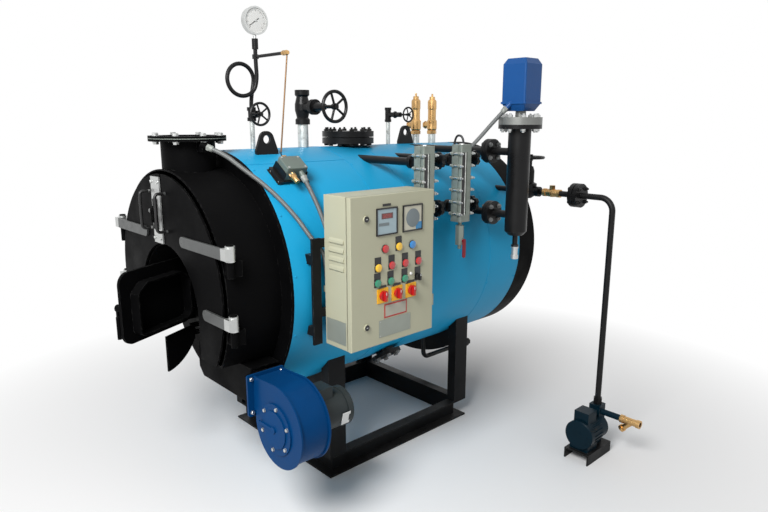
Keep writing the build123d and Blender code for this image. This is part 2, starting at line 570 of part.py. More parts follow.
# The two smokebox doors and the strap set of each: hinge straps, knuckles and a D handle.
for name, side in (("left", -1), ("right", 1)):
    with BuildPart() as smoke_door:
        leaf = horseshoe(facing_front(door_face), smoke_door_radius, mouth_radius + smoke_mouth_margin,
                         smokebox_bottom + smoke_mouth_margin)
        extrude(leaf, amount=-smoke_door_thickness)
        block((-side * smokebox_radius, door_face, 0), (side * seam_gap, door_back, crown), mode=Mode.SUBTRACT)
    finish(smoke_door.part, "smoke_door_" + name)

    with BuildPart() as strap_set:
        for z, inner in ((upper_strap_z, upper_strap_inner), (lower_strap_z, lower_strap_inner)):
            with BuildSketch(facing_front(door_face - strap_thickness)):
                with Locations((side * (inner + strap_height / 2), z)):
                    Circle(strap_height / 2)
                with Locations((side * (inner + strap_height / 2 + hinge_x - strap_height) / 2, z)):
                    Rectangle(hinge_x - strap_height - inner - strap_height / 2, strap_height)
            extrude(amount=-strap_thickness)
            block((side * (hinge_x - strap_height), door_face - strap_thickness, z - strap_height / 2),
                  (side * hinge_x, door_face, z + strap_height / 2))
            block((side * (hinge_x - knuckle_radius), door_face - strap_thickness, z - strap_height / 2),
                  (side * (hinge_x + knuckle_radius), hinge_y, z + strap_height / 2))
            rod((side * hinge_x, hinge_y, z - knuckle_height / 2), (0, 0, 1), knuckle_radius, knuckle_height)
            rod((side * hinge_x, hinge_y, z - knuckle_height / 2), (0, 0, 1), hinge_pin_radius + pin_clearance,
                knuckle_height, mode=Mode.SUBTRACT)
        handle_x = left_handle_x if side < 0 else right_handle_x
        reach = door_face - handle_stand_off
        pipe([(handle_x, door_face, handle_z - handle_length / 2), (handle_x, reach, handle_z - handle_length / 2),
              (handle_x, reach, handle_z + handle_length / 2), (handle_x, door_face, handle_z + handle_length / 2)],
             handle_rod, handle_bend_radius)
        if side < 0:
            block((strip_right - strip_width, door_face - strip_thickness, strip_bottom),
                  (strip_right, door_face, strip_top))
    finish(strap_set.part, "strap_set_" + name)

# The chimney stub, its flanges, and the flue gas sensor's box beside it.
with BuildPart() as chimney:
    rod((0, stub_y, axis_height + smokebox_radius / 2), (0, 0, 1), stub_radius,
        stub_top - axis_height - smokebox_radius / 2, stub_radius - stub_wall)
    for low in (stub_top - stub_flange_thickness, stub_top + stub_gasket):
        rod((0, stub_y, low), (0, 0, 1), stub_flange_radius, stub_flange_thickness, stub_radius - stub_wall)
        with BuildSketch(Plane.XY.offset(low)):
            with Locations((0, stub_y)):
                with PolarLocations(stub_bolt_circle, stub_bolts):
                    Circle(stub_bolt_hole)
        extrude(amount=stub_flange_thickness, mode=Mode.SUBTRACT)
    rod((0, stub_y, stub_top), (0, 0, 1), stub_bolt_circle - 2 * stub_bolt_hole, stub_gasket, stub_radius - stub_wall)
    block((sensor_left, stub_y - sensor_width / 2, sensor_low), (sensor_right, stub_y + sensor_width / 2, sensor_high))
    route_gland(flue_route, sensor_width)
    drum_cut(smokebox_radius + seat_gap)
finish(chimney.part, "chimney")

# The wind box under the drum's front, and the burner's blower beside it.
with BuildPart() as wind_box:
    for inset in (0, wind_wall):
        with BuildSketch(facing_front(wind_front + inset)):
            with BuildLine():
                Polyline((wind_left + inset, wind_high - inset), (wind_left + inset, wind_low + wind_bevel),
                         (wind_left + wind_bevel, wind_low + inset), (wind_right - wind_bevel, wind_low + inset),
                         (wind_right, blower_flange_z - blower_flange / 2 + wind_bevel),
                         (wind_right, wind_high - inset), close=True)
            make_face()
        extrude(amount=wind_front + inset - fire_front_face, mode=Mode.SUBTRACT if inset else Mode.ADD)
    with BuildSketch(facing_right(wind_right)):
        with Locations((blower_flange_y, blower_flange_z)):
            RectangleRounded(blower_flange, blower_flange, blower_flange_corner)
    extrude(amount=blower_flange_thickness)
    block((wind_right - wind_bevel, wind_front + wind_wall, outlet_low), (wind_right + blower_flange_thickness,
          wind_front + wind_wall + outlet_width, outlet_high), mode=Mode.SUBTRACT)
finish(wind_box.part, "wind_box")

scroll_back = scroll_front + scroll_width
blower_face = wind_right + blower_flange_thickness


def scroll_sheet(y, thickness, grow):
    """A slice of the blower's spiral housing with its outlet to the left, grown by a margin."""
    spiral = []
    for i in range(scroll_points):
        share = i / (scroll_points - 1)
        turn = math.radians(scroll_start_angle + (scroll_end_angle - scroll_start_angle) * share)
        reach = scroll_start_radius + (scroll_end_radius - scroll_start_radius) * share + grow
        spiral.append((blower_x + reach * math.cos(turn), blower_z + reach * math.sin(turn)))
    with BuildSketch(facing_front(y)) as slice:
        with BuildLine():
            Spline(*spiral)
            Polyline(spiral[-1], (blower_face, outlet_high + grow), (blower_face, outlet_low - grow), spiral[0])
        make_face()
    extrude(slice.sketch, amount=-thickness)


with BuildPart() as blower_housing:
    scroll_sheet(scroll_front, scroll_width, 0)
    for y in (scroll_front, scroll_back - scroll_edge):
        scroll_sheet(y, scroll_edge, scroll_edge)
    with BuildSketch(facing_right(blower_face)):
        with Locations((blower_flange_y, blower_flange_z)):
            RectangleRounded(blower_flange, blower_flange, blower_flange_corner)
    extrude(amount=blower_flange_thickness)
    rod((blower_x, scroll_front, blower_z), (0, -1, 0), inlet_radius, inlet_lip, inlet_bore)
    rod((blower_x, scroll_front, blower_z), (0, 1, 0), inlet_bore, inlet_depth, mode=Mode.SUBTRACT)
    rod((blower_x, scroll_front - inlet_lip, blower_z), (0, -1, 0), damper_radius, damper_thickness)
    rod((blower_x, scroll_front - inlet_lip - damper_thickness, blower_z), (0, -1, 0), inlet_lip + inlet_lip,
        damper_thickness)
    block((blower_x, scroll_front - inlet_lip - damper_thickness, blower_z - inlet_lip),
          (blower_x - damper_lever, scroll_front - inlet_lip - 2 * damper_thickness, blower_z + inlet_lip))
finish(blower_housing.part, "blower_housing")

with BuildPart() as blower_motor:
    base = (blower_x, scroll_back, blower_z)
    turned([(0, 0), (motor_radius - motor_bell / 2, 0), (motor_radius, motor_bell / 2),
            (motor_radius, motor_length - motor_bell), (motor_radius + motor_rib, motor_length - motor_bell),
            (motor_radius + motor_rib, motor_length - motor_rib), (motor_radius, motor_length),
            (0, motor_length)], base, (0, 1, 0))
    block((blower_x - motor_box / 2, scroll_back + motor_bell, blower_z),
          (blower_x + motor_box / 2, scroll_back + motor_bell + motor_box, blower_z + motor_radius + motor_box_height))
finish(blower_motor.part, "blower_motor")

# The control panel: an open steel box, its door, and the posts that hold it off the drum.
panel_mouth = panel_front - panel_door_depth - panel_door_gap
with BuildPart() as panel_box:
    block((panel_back, panel_left_y, panel_low), (panel_mouth, panel_right_y, panel_high))
    fillet(panel_box.edges().filter_by(Axis.X), radius=panel_edge_radius)
    block((panel_back + panel_wall, panel_left_y + panel_wall, panel_low + panel_wall),
          (panel_mouth, panel_right_y - panel_wall, panel_high - panel_wall), mode=Mode.SUBTRACT)
    for x, y, z in (flue_route[-1], switch_run[-1]):
        block((panel_back - elbow_depth, y - elbow_width / 2, z - elbow_height),
              (panel_back + panel_wall, y + elbow_width / 2, z))
    pin_x, pin_y = panel_front - panel_door_depth / 2, panel_right_y + panel_pin_offset
    for z in panel_hinge_heights:
        rod((pin_x, pin_y, z), (0, 0, 1), panel_knuckle_radius, panel_knuckle_length / 2)
        rod((pin_x, pin_y, z), (0, 0, 1), panel_pin_radius, panel_knuckle_length)
        block((panel_mouth - panel_knuckle_length, panel_right_y - panel_edge_radius, z),
              (panel_mouth - panel_pin_offset, pin_y + panel_edge_radius, z + panel_knuckle_length / 2))
        block((panel_mouth - panel_pin_offset - panel_edge_radius, pin_y - panel_edge_radius, z),
              (pin_x, pin_y + panel_edge_radius, z + panel_knuckle_length / 2))
finish(panel_box.part, "panel_box")

with BuildPart() as panel_door:
    block((panel_front - panel_door_depth, panel_left_y, panel_low), (panel_front, panel_right_y, panel_high))
    fillet(panel_door.edges().group_by(Axis.X)[-1], radius=panel_edge_radius)
    block((panel_front - panel_door_depth, panel_left_y + panel_door_skin, panel_low + panel_door_skin),
          (panel_front - panel_door_skin, panel_right_y - panel_door_skin, panel_high - panel_door_skin),
          mode=Mode.SUBTRACT)
    for z in panel_hinge_heights:
        rest = z + panel_knuckle_length / 2 + knuckle_play
        top = panel_knuckle_length / 2 - knuckle_play
        rod((pin_x, pin_y, rest), (0, 0, 1), panel_knuckle_radius, top)
        block((pin_x - panel_edge_radius, panel_right_y - panel_door_skin, rest),
              (pin_x + panel_edge_radius, pin_y, rest + top))
        rod((pin_x, pin_y, rest), (0, 0, 1), panel_pin_radius + pin_clearance, top, mode=Mode.SUBTRACT)
    for z in lock_zs:
        rod((panel_front, lock_y, z), (1, 0, 0), lock_radius, lock_depth)
finish(panel_door.part, "panel_door")

with BuildPart() as panel_instruments:
    for y in meter_ys:
        with BuildSketch(facing_right(panel_front)):
            with Locations((y, meter_z)):
                Rectangle(meter_width, meter_height)
        extrude(amount=meter_depth)
        with BuildSketch(facing_right(panel_front + meter_depth)):
            with Locations((y, meter_z)):
                Rectangle(meter_width - 2 * meter_window_inset, meter_height - 2 * meter_window_inset)
        extrude(amount=-meter_window_depth, mode=Mode.SUBTRACT)
    for y, z in lamp_places:
        turned([(0, 0), (lamp_ring_radius, 0), (lamp_ring_radius, lamp_ring_depth), (lamp_radius, lamp_ring_depth),
                (lamp_radius, lamp_length - lamp_ring_depth), (lamp_radius - lamp_ring_depth, lamp_length),
                (0, lamp_length)], (panel_front, y, z), (1, 0, 0))
    for y, z in tag_places:
        block((panel_front, y - tag_width / 2, z + tag_above - tag_height / 2),
              (panel_front + tag_depth, y + tag_width / 2, z + tag_above + tag_height / 2))
    for y, z in isolator_places:
        block((panel_front, y - isolator_plate / 2, z - isolator_plate / 2),
              (panel_front + isolator_plate_depth, y + isolator_plate / 2, z + isolator_plate / 2))
    rod((panel_front, *selector_place), (1, 0, 0), selector_base_radius, selector_base_depth)
finish(panel_instruments.part, "panel_instruments")

# Turning knobs on the panel: a collar with a grip bar across it.
for name, (y, z) in zip("abc", isolator_places):
    with BuildPart() as isolator:
        face = panel_front + isolator_plate_depth + knob_gap
        rod((face, y, z), (1, 0, 0), isolator_radius, isolator_depth / 2)
        block((face, y - isolator_grip_width / 2, z - isolator_grip_length / 2),
              (face + isolator_depth, y + isolator_grip_width / 2, z + isolator_grip_length / 2))
    finish(isolator.part, "isolator_" + name)

with BuildPart() as selector:
    face = panel_front + selector_base_depth + knob_gap
    y, z = selector_place
    rod((face, y, z), (1, 0, 0), selector_radius, selector_depth / 2)
    block((face, y - selector_base_depth, z - selector_radius),
          (face + selector_depth, y + selector_base_depth, z + selector_radius))
finish(selector.part, "selector")

with BuildPart() as panel_posts:
    post_front = panel_back - seat_gap
    for y in panel_post_ys:
        block((post_front - post_thickness, y - post_width / 2, panel_post_low),
              (post_front, y + post_width / 2, panel_post_high))
        for z in pad_heights:
            block((0, y - post_width / 2, z - pad_height / 2), (post_front, y + post_width / 2, z + pad_height / 2))
    for z in panel_rail_zs:
        block((post_front - post_thickness, panel_post_ys[0], z - rail_height / 2),
              (post_front, panel_post_ys[-1], z + rail_height / 2))
    drum_cut(shell_radius + seat_gap)
finish(panel_posts.part, "panel_posts")

# The galvanised pipes that rise from the drum's crown.
with BuildPart() as top_pipes:
    for y, radius, top in ((gauge_y, gauge_pipe_radius, gauge_pipe_top), (steam_y, steam_pipe_radius, steam_pipe_top),
                           (vent_y, vent_pipe_radius, vent_pipe_top),
                           (safety_ys[0], safety_pipe_radius, safety_pipe_top),
                           (safety_ys[1], safety_pipe_radius, safety_pipe_top)):
        rod((0, y, crown - root_depth), (0, 0, 1), radius, top - crown + root_depth)
    drum_cut(shell_radius + seat_gap)
finish(top_pipes.part, "top_pipes")

# The gauge line: shut-off valve, loop siphon, riser with its branch and capillary, and the dial gauge.
gauge_valve_top = gauge_pipe_top + gauge_valve_height
gauge_wheel_x = gauge_stem_reach + gauge_wheel_radius * hub_share + stem_nut_length
gauge_valve_z = gauge_pipe_top + gauge_valve_height / 2
with BuildPart() as gauge_valve:
    turned([(0, 0), (gauge_valve_radius + stem_nut_length / 2, 0),
            (gauge_valve_radius + stem_nut_length / 2, gauge_valve_radius),
            (gauge_valve_radius, gauge_valve_radius), (gauge_valve_radius, gauge_valve_height - gauge_valve_radius),
            (gauge_valve_radius + stem_nut_length / 2, gauge_valve_height - gauge_valve_radius),
            (gauge_valve_radius + stem_nut_length / 2, gauge_valve_height), (0, gauge_valve_height)],
           (0, gauge_y, gauge_pipe_top), (0, 0, 1))
    hexagon((0, gauge_y, gauge_valve_z), (1, 0, 0), gauge_valve_radius, gauge_stem_reach)
    stem_and_nut((0, gauge_y, gauge_valve_z), (1, 0, 0), (gauge_wheel_x, gauge_y, gauge_valve_z),
                 gauge_wheel_radius, vent_stem_radius)
finish(gauge_valve.part, "gauge_valve")

with BuildPart() as gauge_valve_wheel:
    side_wheel((gauge_wheel_x, gauge_y, gauge_valve_z), (1, 0, 0), gauge_wheel_radius, vent_stem_radius)
finish(gauge_valve_wheel.part, "gauge_valve_wheel")

riser_y = gauge_y + siphon_offset
# The pressure switch stands on the drum's shoulder; the capillary comes down to a fitting on its side.
switch_x, switch_z = at_angle(switch_angle, shell_radius + switch_stand)
outward = (math.sin(math.radians(switch_angle)), 0, math.cos(math.radians(switch_angle)))
uphill = (-outward[2], 0, outward[0])
switch_plane = Plane(origin=(switch_x, switch_y, switch_z), x_dir=(0, 1, 0), z_dir=outward)
switch_middle = Vector(switch_x, switch_y, switch_z) + Vector(*outward) * (switch_height / 2)
switch_port = switch_middle + Vector(*uphill) * (switch_across / 2)
switch_exit = switch_middle - Vector(*uphill) * (switch_across / 2 + switch_gland_length) + Vector(0, switch_gland_out, 0)
switch_route = [tuple(switch_exit)] + switch_run
with BuildPart() as pressure_switch:
    with BuildSketch(switch_plane):
        RectangleRounded(switch_along, switch_across, switch_corner)
    extrude(amount=switch_height)
    fillet(pressure_switch.faces().sort_by(Axis(switch_middle, outward))[-1].edges(), radius=switch_bracket_thickness)
    with BuildSketch(switch_plane):
        Rectangle(switch_bracket_along, switch_bracket_across)
    extrude(amount=-switch_bracket_thickness)
    with BuildSketch(switch_plane):
        with Locations((-switch_bracket_along / 2, 0), (switch_bracket_along / 2, 0)):
            Rectangle(switch_stand, switch_bracket_across)
    extrude(amount=-2 * switch_stand)
    hexagon(tuple(switch_port - Vector(*uphill) * switch_corner), uphill, switch_fitting_radius,
            switch_fitting_length + switch_corner)
    route_gland(switch_route, switch_gland_length + 2 * switch_corner)
    turned([(0, 0), (switch_fitting_radius, 0), (switch_fitting_radius, switch_fitting_length),
            (switch_gland_radius, switch_fitting_length), (switch_gland_radius, 2 * switch_fitting_length),
            (0, 2 * switch_fitting_length)],
           tuple(switch_middle - Vector(*uphill) * (switch_across / 2 - switch_corner) - Vector(0, switch_gland_out, 0)),
           (outward[2], 0, -outward[0]))
    drum_cut(shell_radius + seat_gap)
finish(pressure_switch.part, "pressure_switch")

port_end = switch_port + Vector(*uphill) * switch_fitting_length
capillary_knee = port_end + Vector(*uphill) * ((port_end.X - capillary_x) / outward[2])
loop_y = riser_y - siphon_loop
with BuildPart() as siphon:
    turns = [math.radians(siphon_start + (360 - siphon_start) * i / siphon_points) for i in range(siphon_points + 1)]
    loop = [(siphon_riser_x * max(turn, 0) / (2 * math.pi), loop_y + siphon_loop * math.cos(turn),
             siphon_loop_z + siphon_loop * math.sin(turn)) for turn in turns]
    with BuildLine() as coil:
        Spline((0, gauge_y, gauge_valve_top), *loop, (siphon_riser_x, riser_y, branch_z),
               tangents=[(0, 0, 1), (0, 0, 1)])
    with BuildSketch(Plane.XY.offset(gauge_valve_top)):
        with Locations((0, gauge_y)):
            Circle(siphon_radius)
    sweep(path=coil.line)
    rod((siphon_riser_x, riser_y, branch_z), (0, 0, 1), siphon_radius, siphon_top - branch_z)
    hexagon((siphon_riser_x, riser_y, branch_z - branch_fitting_radius), (0, 0, 1), siphon_radius + siphon_cross / 2,
            2 * branch_fitting_radius)
    rod((siphon_riser_x, riser_y, siphon_top), (0, 0, 1), socket_radius, socket_length)
    rod((siphon_riser_x, riser_y, branch_z), (1, 0, 0), branch_radius, branch_reach - siphon_riser_x)
    hexagon((branch_reach, riser_y, branch_z), (1, 0, 0), branch_fitting_radius, branch_fitting_length)
    pipe([(capillary_x, riser_y, branch_z), tuple(capillary_knee), tuple(port_end)], capillary_radius,
         capillary_bend_radius)
finish(siphon.part, "siphon")

dial_z = siphon_top + socket_length + gauge_stub_length + dial_radius
with BuildPart() as dial_gauge:
    rod((siphon_riser_x, riser_y, siphon_top + socket_length), (0, 0, 1), gauge_stub_radius,
        gauge_stub_length + dial_bezel)
    turned([(0, 0), (dial_radius - dial_bezel, 0), (dial_radius, dial_bezel), (dial_radius, dial_depth - dial_bezel),
            (dial_radius + dial_bezel / 2, dial_depth - dial_bezel), (dial_radius + dial_bezel / 2, dial_depth),
            (dial_radius - dial_bezel, dial_depth), (dial_radius - dial_bezel, dial_depth - dial_recess),
            (0, dial_depth - dial_recess)],
           (siphon_riser_x - dial_depth / 2, riser_y, dial_z), (1, 0, 0))
finish(dial_gauge.part, "dial_gauge")

# The main steam valve and the small vent valve, both with their bonnets to the right.
with BuildPart() as top_valves:
    waist, swell = steam_valve_body - steam_stem_radius, steam_valve_body
    middle = steam_valve_length / 2
    turned([(steam_pipe_radius - stub_wall, 0), (steam_valve_end, 0), (steam_valve_end, steam_end_length),
            (waist, steam_end_length + steam_stem_radius), (swell, middle - waist / 2), (swell, middle + waist / 2),
            (waist, steam_valve_length - steam_end_length - steam_stem_radius),
            (steam_valve_end, steam_valve_length - steam_end_length), (steam_valve_end, steam_valve_length),
            (steam_pipe_radius - stub_wall, steam_valve_length)], (0, steam_y, steam_pipe_top), (0, 0, 1))
    steam_valve_z = steam_pipe_top + middle
    turned([(0, 0), (steam_bonnet_radius, 0), (steam_bonnet_radius, steam_body_reach),
            (steam_bonnet_flange, steam_body_reach), (steam_bonnet_flange, steam_body_reach + steam_end_length),
            (steam_bonnet_radius, steam_body_reach + steam_end_length),
            (steam_bonnet_radius - steam_stem_radius, steam_body_reach + steam_end_length + steam_bonnet_length),
            (0, steam_body_reach + steam_end_length + steam_bonnet_length)],
           (steam_pipe_radius - stub_wall, steam_y, steam_valve_z), (1, 0, 0))
    stem_and_nut((steam_body_reach, steam_y, steam_valve_z), (1, 0, 0), (steam_wheel_x, steam_y, steam_valve_z),
                 steam_wheel_radius, steam_stem_radius)
    turned([(0, 0), (vent_end_radius, 0), (vent_end_radius, vent_end_length), (vent_valve_radius, vent_end_length),
            (vent_valve_radius, vent_valve_length - vent_end_length),
            (vent_end_radius, vent_valve_length - vent_end_length), (vent_end_radius, vent_valve_length),
            (0, vent_valve_length)], (0, vent_y, vent_pipe_top), (0, 0, 1))
    vent_valve_z = vent_pipe_top + vent_valve_length / 2
    rod((0, vent_y, vent_valve_z), (1, 0, 0), vent_bonnet_radius, vent_bonnet_reach)
    hexagon((vent_bonnet_reach / 2, vent_y, vent_valve_z), (1, 0, 0), vent_end_radius, vent_end_length)
    stem_and_nut((0, vent_y, vent_valve_z), (1, 0, 0), (vent_wheel_x, vent_y, vent_valve_z), vent_wheel_radius,
                 vent_stem_radius)
finish(top_valves.part, "top_valves")

with BuildPart() as steam_wheel:
    side_wheel((steam_wheel_x, steam_y, steam_valve_z), (1, 0, 0), steam_wheel_radius, steam_stem_radius)
finish(steam_wheel.part, "steam_wheel")

with BuildPart() as vent_wheel:
    side_wheel((vent_wheel_x, vent_y, vent_valve_z), (1, 0, 0), vent_wheel_radius, vent_stem_radius)
finish(vent_wheel.part, "vent_wheel")

# Inspection openings: the manhole's blank flange pair on the crown and the handhole's low on the side.
with BuildPart() as inspection_flanges:
    rod((0, manhole_y, crown - root_depth), (0, 0, 1), manhole_neck, manhole_neck_top - crown + root_depth)
    rod((0, manhole_y, manhole_neck_top), (0, 0, 1), manhole_flange_radius, manhole_flange_thickness)
    rod((0, manhole_y, manhole_neck_top + manhole_flange_thickness), (0, 0, 1),
        manhole_flange_radius - manhole_flange_thickness, manhole_gasket)
    rod((0, manhole_y, manhole_neck_top + manhole_flange_thickness + manhole_gasket), (0, 0, 1),
        manhole_flange_radius, manhole_flange_thickness)
    low_x, low_z = at_angle(handhole_angle, shell_radius - root_depth)
    away = (math.sin(math.radians(handhole_angle)), 0, math.cos(math.radians(handhole_angle)))
    rod((low_x, handhole_y, low_z), away, handhole_neck, root_depth + handhole_stand)
    low_x, low_z = at_angle(handhole_angle, shell_radius + handhole_stand)
    rod((low_x, handhole_y, low_z), away, handhole_flange, handhole_thickness)
    drum_cut(shell_radius + seat_gap)
finish(inspection_flanges.part, "inspection_flanges")

# Lifting lugs: tapered plates with a shackle hole.
with BuildPart() as lifting_lugs:
    for x, y in ((front_lug_x, front_lug_y), (0, rear_lug_y)):
        foot = axis_height + math.sqrt(shell_radius ** 2 - x ** 2)
        with BuildSketch(facing_right(x - lug_thickness / 2)):
            with Locations((y, foot + lug_hole_up)):
                Circle(lug_tip_radius)
            with Locations((y, foot - lug_root)):
                Rectangle(lug_base, lug_root + lug_thickness, align=(Align.CENTER, Align.MIN))
            make_hull()
            with Locations((y, foot + lug_hole_up)):
                Circle(lug_hole, mode=Mode.SUBTRACT)
        extrude(amount=lug_thickness)
    drum_cut(shell_radius + seat_gap)
finish(lifting_lugs.part, "lifting_lugs")

# The two safety valves: hexagon foot, turned body with a side outlet, barrel and cap.
with BuildPart() as safety_valves:
    for y in safety_ys:
        hexagon((0, y, safety_pipe_top), (0, 0, 1), safety_hex, safety_levels[0] - safety_pipe_top)
        turned([(0, 0)] + [(radius, z - safety_levels[0]) for radius, z in safety_outline]
               + [(0, safety_outline[-1][1] - safety_levels[0])], (0, y, safety_levels[0]), (0, 0, 1))
        rod((0, y, safety_levels[1]), (-1, 0, 0), safety_outlet_radius, safety_outlet_reach)
        hexagon((-safety_outlet_reach, y, safety_levels[1]), (-1, 0, 0), safety_outlet_radius + safety_lip, safety_lip * 2)
        rod((-safety_outlet_reach - 2 * safety_lip, y, safety_levels[1]), (1, 0, 0), safety_outlet_bore,
            safety_outlet_reach, mode=Mode.SUBTRACT)
finish(safety_valves.part, "safety_valves")

# The two level gauges: a bolted body with a slotted cover, on flanged arms with cock stems.
with BuildPart() as level_gauges:
    for y in level_gauge_ys:
        face = gauge_x + level_depth / 2
        block((gauge_x - level_depth / 2, y - level_width / 2, level_low), (face, y + level_width / 2, level_high))
        fillet(level_gauges.edges().filter_by(Axis.Z).filter_by_position(Axis.Y, y - level_width, y + level_width),
               radius=level_corner)
        with BuildSketch(Plane.XY.offset(level_low)):
            with Locations((face - level_cover - level_groove / 2, y)):
                Rectangle(level_groove, level_width)
                Rectangle(level_groove, level_width - 2 * level_groove_depth, mode=Mode.SUBTRACT)
        extrude(amount=level_high - level_low, mode=Mode.SUBTRACT)
        with BuildSketch(facing_right(face)):
            with Locations((y, (level_low + level_high) / 2)):
                SlotOverall(level_high - level_low - 2 * level_slot_inset, level_slot_width, rotation=90)
        extrude(amount=-level_slot_depth, mode=Mode.SUBTRACT)
finish(level_gauges.part, "level_gauges")

arm_end = gauge_x - level_depth / 2
arm_start = arm_end - arm_block
with BuildPart() as gauge_arms:
    for y in level_gauge_ys:
        for z in (arm_high, arm_low):
            rod((0, y, z), (1, 0, 0), water_pipe_radius, arm_start - 2 * arm_flange_thickness)
            flange_pair((arm_start - arm_flange_thickness, y, z), (1, 0, 0), arm_flange_radius,
                        arm_flange_thickness - arm_flange_gap / 2, arm_flange_gap)
            rod((arm_start - arm_flange_thickness, y, z), (1, 0, 0), water_pipe_radius, arm_flange_thickness)
            block((arm_start, y - arm_block / 2, z - arm_block / 2), (arm_end, y + arm_block / 2, z + arm_block / 2))
            hexagon((arm_start + arm_block / 2, y + arm_block / 2, z), (0, 1, 0), cock_collar_radius,
                    cock_collar_length)
            rod((arm_start + arm_block / 2, y + arm_block / 2, z), (0, 1, 0), cock_stem_radius,
                cock_wheel_out + cock_wheel_thickness + wheel_play - arm_block / 2)
            rod((arm_start + arm_block / 2, y + cock_wheel_out - wheel_play, z), (0, -1, 0), cock_collar_radius,
                stem_nut_length)
            hexagon((arm_start + arm_block / 2, y + cock_wheel_out + cock_wheel_thickness + wheel_play, z), (0, 1, 0),
                    cock_stem_radius + stem_nut_length / 2, stem_nut_length)
    route_gland(controller_route[::-1], arm_block)
    drum_cut(shell_radius + seat_gap)
finish(gauge_arms.part, "gauge_arms")

cock_places = [(y, z) for y in level_gauge_ys for z in (arm_high, arm_low)]
for number, (y, z) in enumerate(cock_places, 1):
    with BuildPart() as cock_wheel:
        with BuildSketch(facing_front(y + cock_wheel_out)):
            with Locations((arm_start + arm_block / 2, z)):
                Circle(cock_wheel_radius)
                with PolarLocations(cock_wheel_radius + cock_scallop_out, cock_lobes):
                    Circle(cock_scallop, mode=Mode.SUBTRACT)
                Circle(cock_stem_radius + pin_clearance, mode=Mode.SUBTRACT)
        extrude(amount=-cock_wheel_thickness)
    finish(cock_wheel.part, "cock_wheel_" + str(number))

# The drain cocks below the second gauge and the float chamber, and the red lever of the first.
drain_y = level_gauge_ys[-1]
with BuildPart() as drain_cocks:
    rod((gauge_x, drain_y, drain_tip), (0, 0, 1), drain_neck_radius, level_low - drain_tip)
    hexagon((gauge_x, drain_y, drain_low), (0, 0, 1), drain_radius, drain_high - drain_low)
    rod((gauge_x, drain_y, lever_z), (1, 0, 0), lever_boss_radius, drain_radius)
    turned([(0, 0), (drain_valve_end, 0), (drain_valve_end, drain_valve_end), (drain_valve_radius, drain_valve_end),
            (drain_valve_radius, drain_valve_length - drain_valve_end),
            (drain_valve_end, drain_valve_length - drain_valve_end), (drain_valve_end, drain_valve_length),
            (0, drain_valve_length)], (chamber_x, chamber_y, chamber_low - chamber_drain_length), (0, 0, -1))
finish(drain_cocks.part, "drain_cocks")

with BuildPart() as drain_lever:
    start = gauge_x + drain_radius + seat_gap
    rod((start, drain_y, lever_z), (1, 0, 0), lever_boss_radius, lever_boss_length)
    with BuildSketch(facing_right(start + lever_boss_length - lever_thickness)):
        with Locations((drain_y, lever_z - (lever_length - lever_width) / 2)):
            SlotOverall(lever_length, lever_width, rotation=90)
    extrude(amount=lever_thickness)
finish(drain_lever.part, "drain_lever")

# The float chamber on its two flanged pipes, its cover flanges and the controller housing on top.
with BuildPart() as float_chamber:
    centre = (chamber_x, chamber_y, chamber_low)
    turned([(0, 0), (chamber_radius - chamber_cap_radius, 0), (chamber_radius, chamber_cap_radius),
            (chamber_radius, chamber_high - chamber_low),
            (chamber_flange_radius, chamber_high - chamber_low),
            (chamber_flange_radius, chamber_high - chamber_low + chamber_flange_thickness),
            (0, chamber_high - chamber_low + chamber_flange_thickness)], centre, (0, 0, 1))
    rod(centre, (0, 0, -1), chamber_drain_radius, chamber_drain_length)
    for z, pair_x in ((chamber_pipe_high, pair_high_x), (chamber_pipe_low, pair_low_x)):
        half = pair_thickness + pair_gap / 2
        rod((0, chamber_y, z), (1, 0, 0), chamber_pipe_radius, pair_x - half)
        flange_pair((pair_x, chamber_y, z), (1, 0, 0), pair_radius, pair_thickness, pair_gap)
        rod((pair_x, chamber_y, z), (1, 0, 0), chamber_pipe_radius, chamber_x - pair_x)
        rod((pair_x - half, chamber_y, z), (1, 0, 0), chamber_pipe_radius, 2 * half)
    drum_cut(shell_radius + seat_gap)
finish(float_chamber.part, "float_chamber")

head_low = chamber_high + chamber_flange_thickness
with BuildPart() as chamber_head:
    rod((chamber_x, chamber_y, head_low), (0, 0, 1), chamber_flange_radius, head_flange_thickness)
    rod((chamber_x, chamber_y, head_low), (0, 0, 1), head_neck_radius, housing_low - head_low)
finish(chamber_head.part, "chamber_head")

with BuildPart() as controller_housing:
    rim = housing_side + 2 * housing_rim_out
    for levels in (((housing_low, housing_base_share), (housing_low + housing_taper, 1)),
                   ((housing_low + housing_taper, 1), (housing_high, 1)),
                   ((housing_high, 1), (housing_high + housing_cap, housing_top_share))):
        for z, share in levels:
            with BuildSketch(Plane.XY.offset(z)):
                with Locations((chamber_x, chamber_y)):
                    RectangleRounded(housing_side * share, housing_side * share, housing_corner)
        loft()
    with BuildSketch(Plane.XY.offset(housing_low + housing_taper)):
        with Locations((chamber_x, chamber_y)):
            RectangleRounded(rim, rim, housing_corner)
    extrude(amount=housing_rim_height)
    route_gland(controller_route, housing_gland_length)
finish(controller_housing.part, "controller_housing")

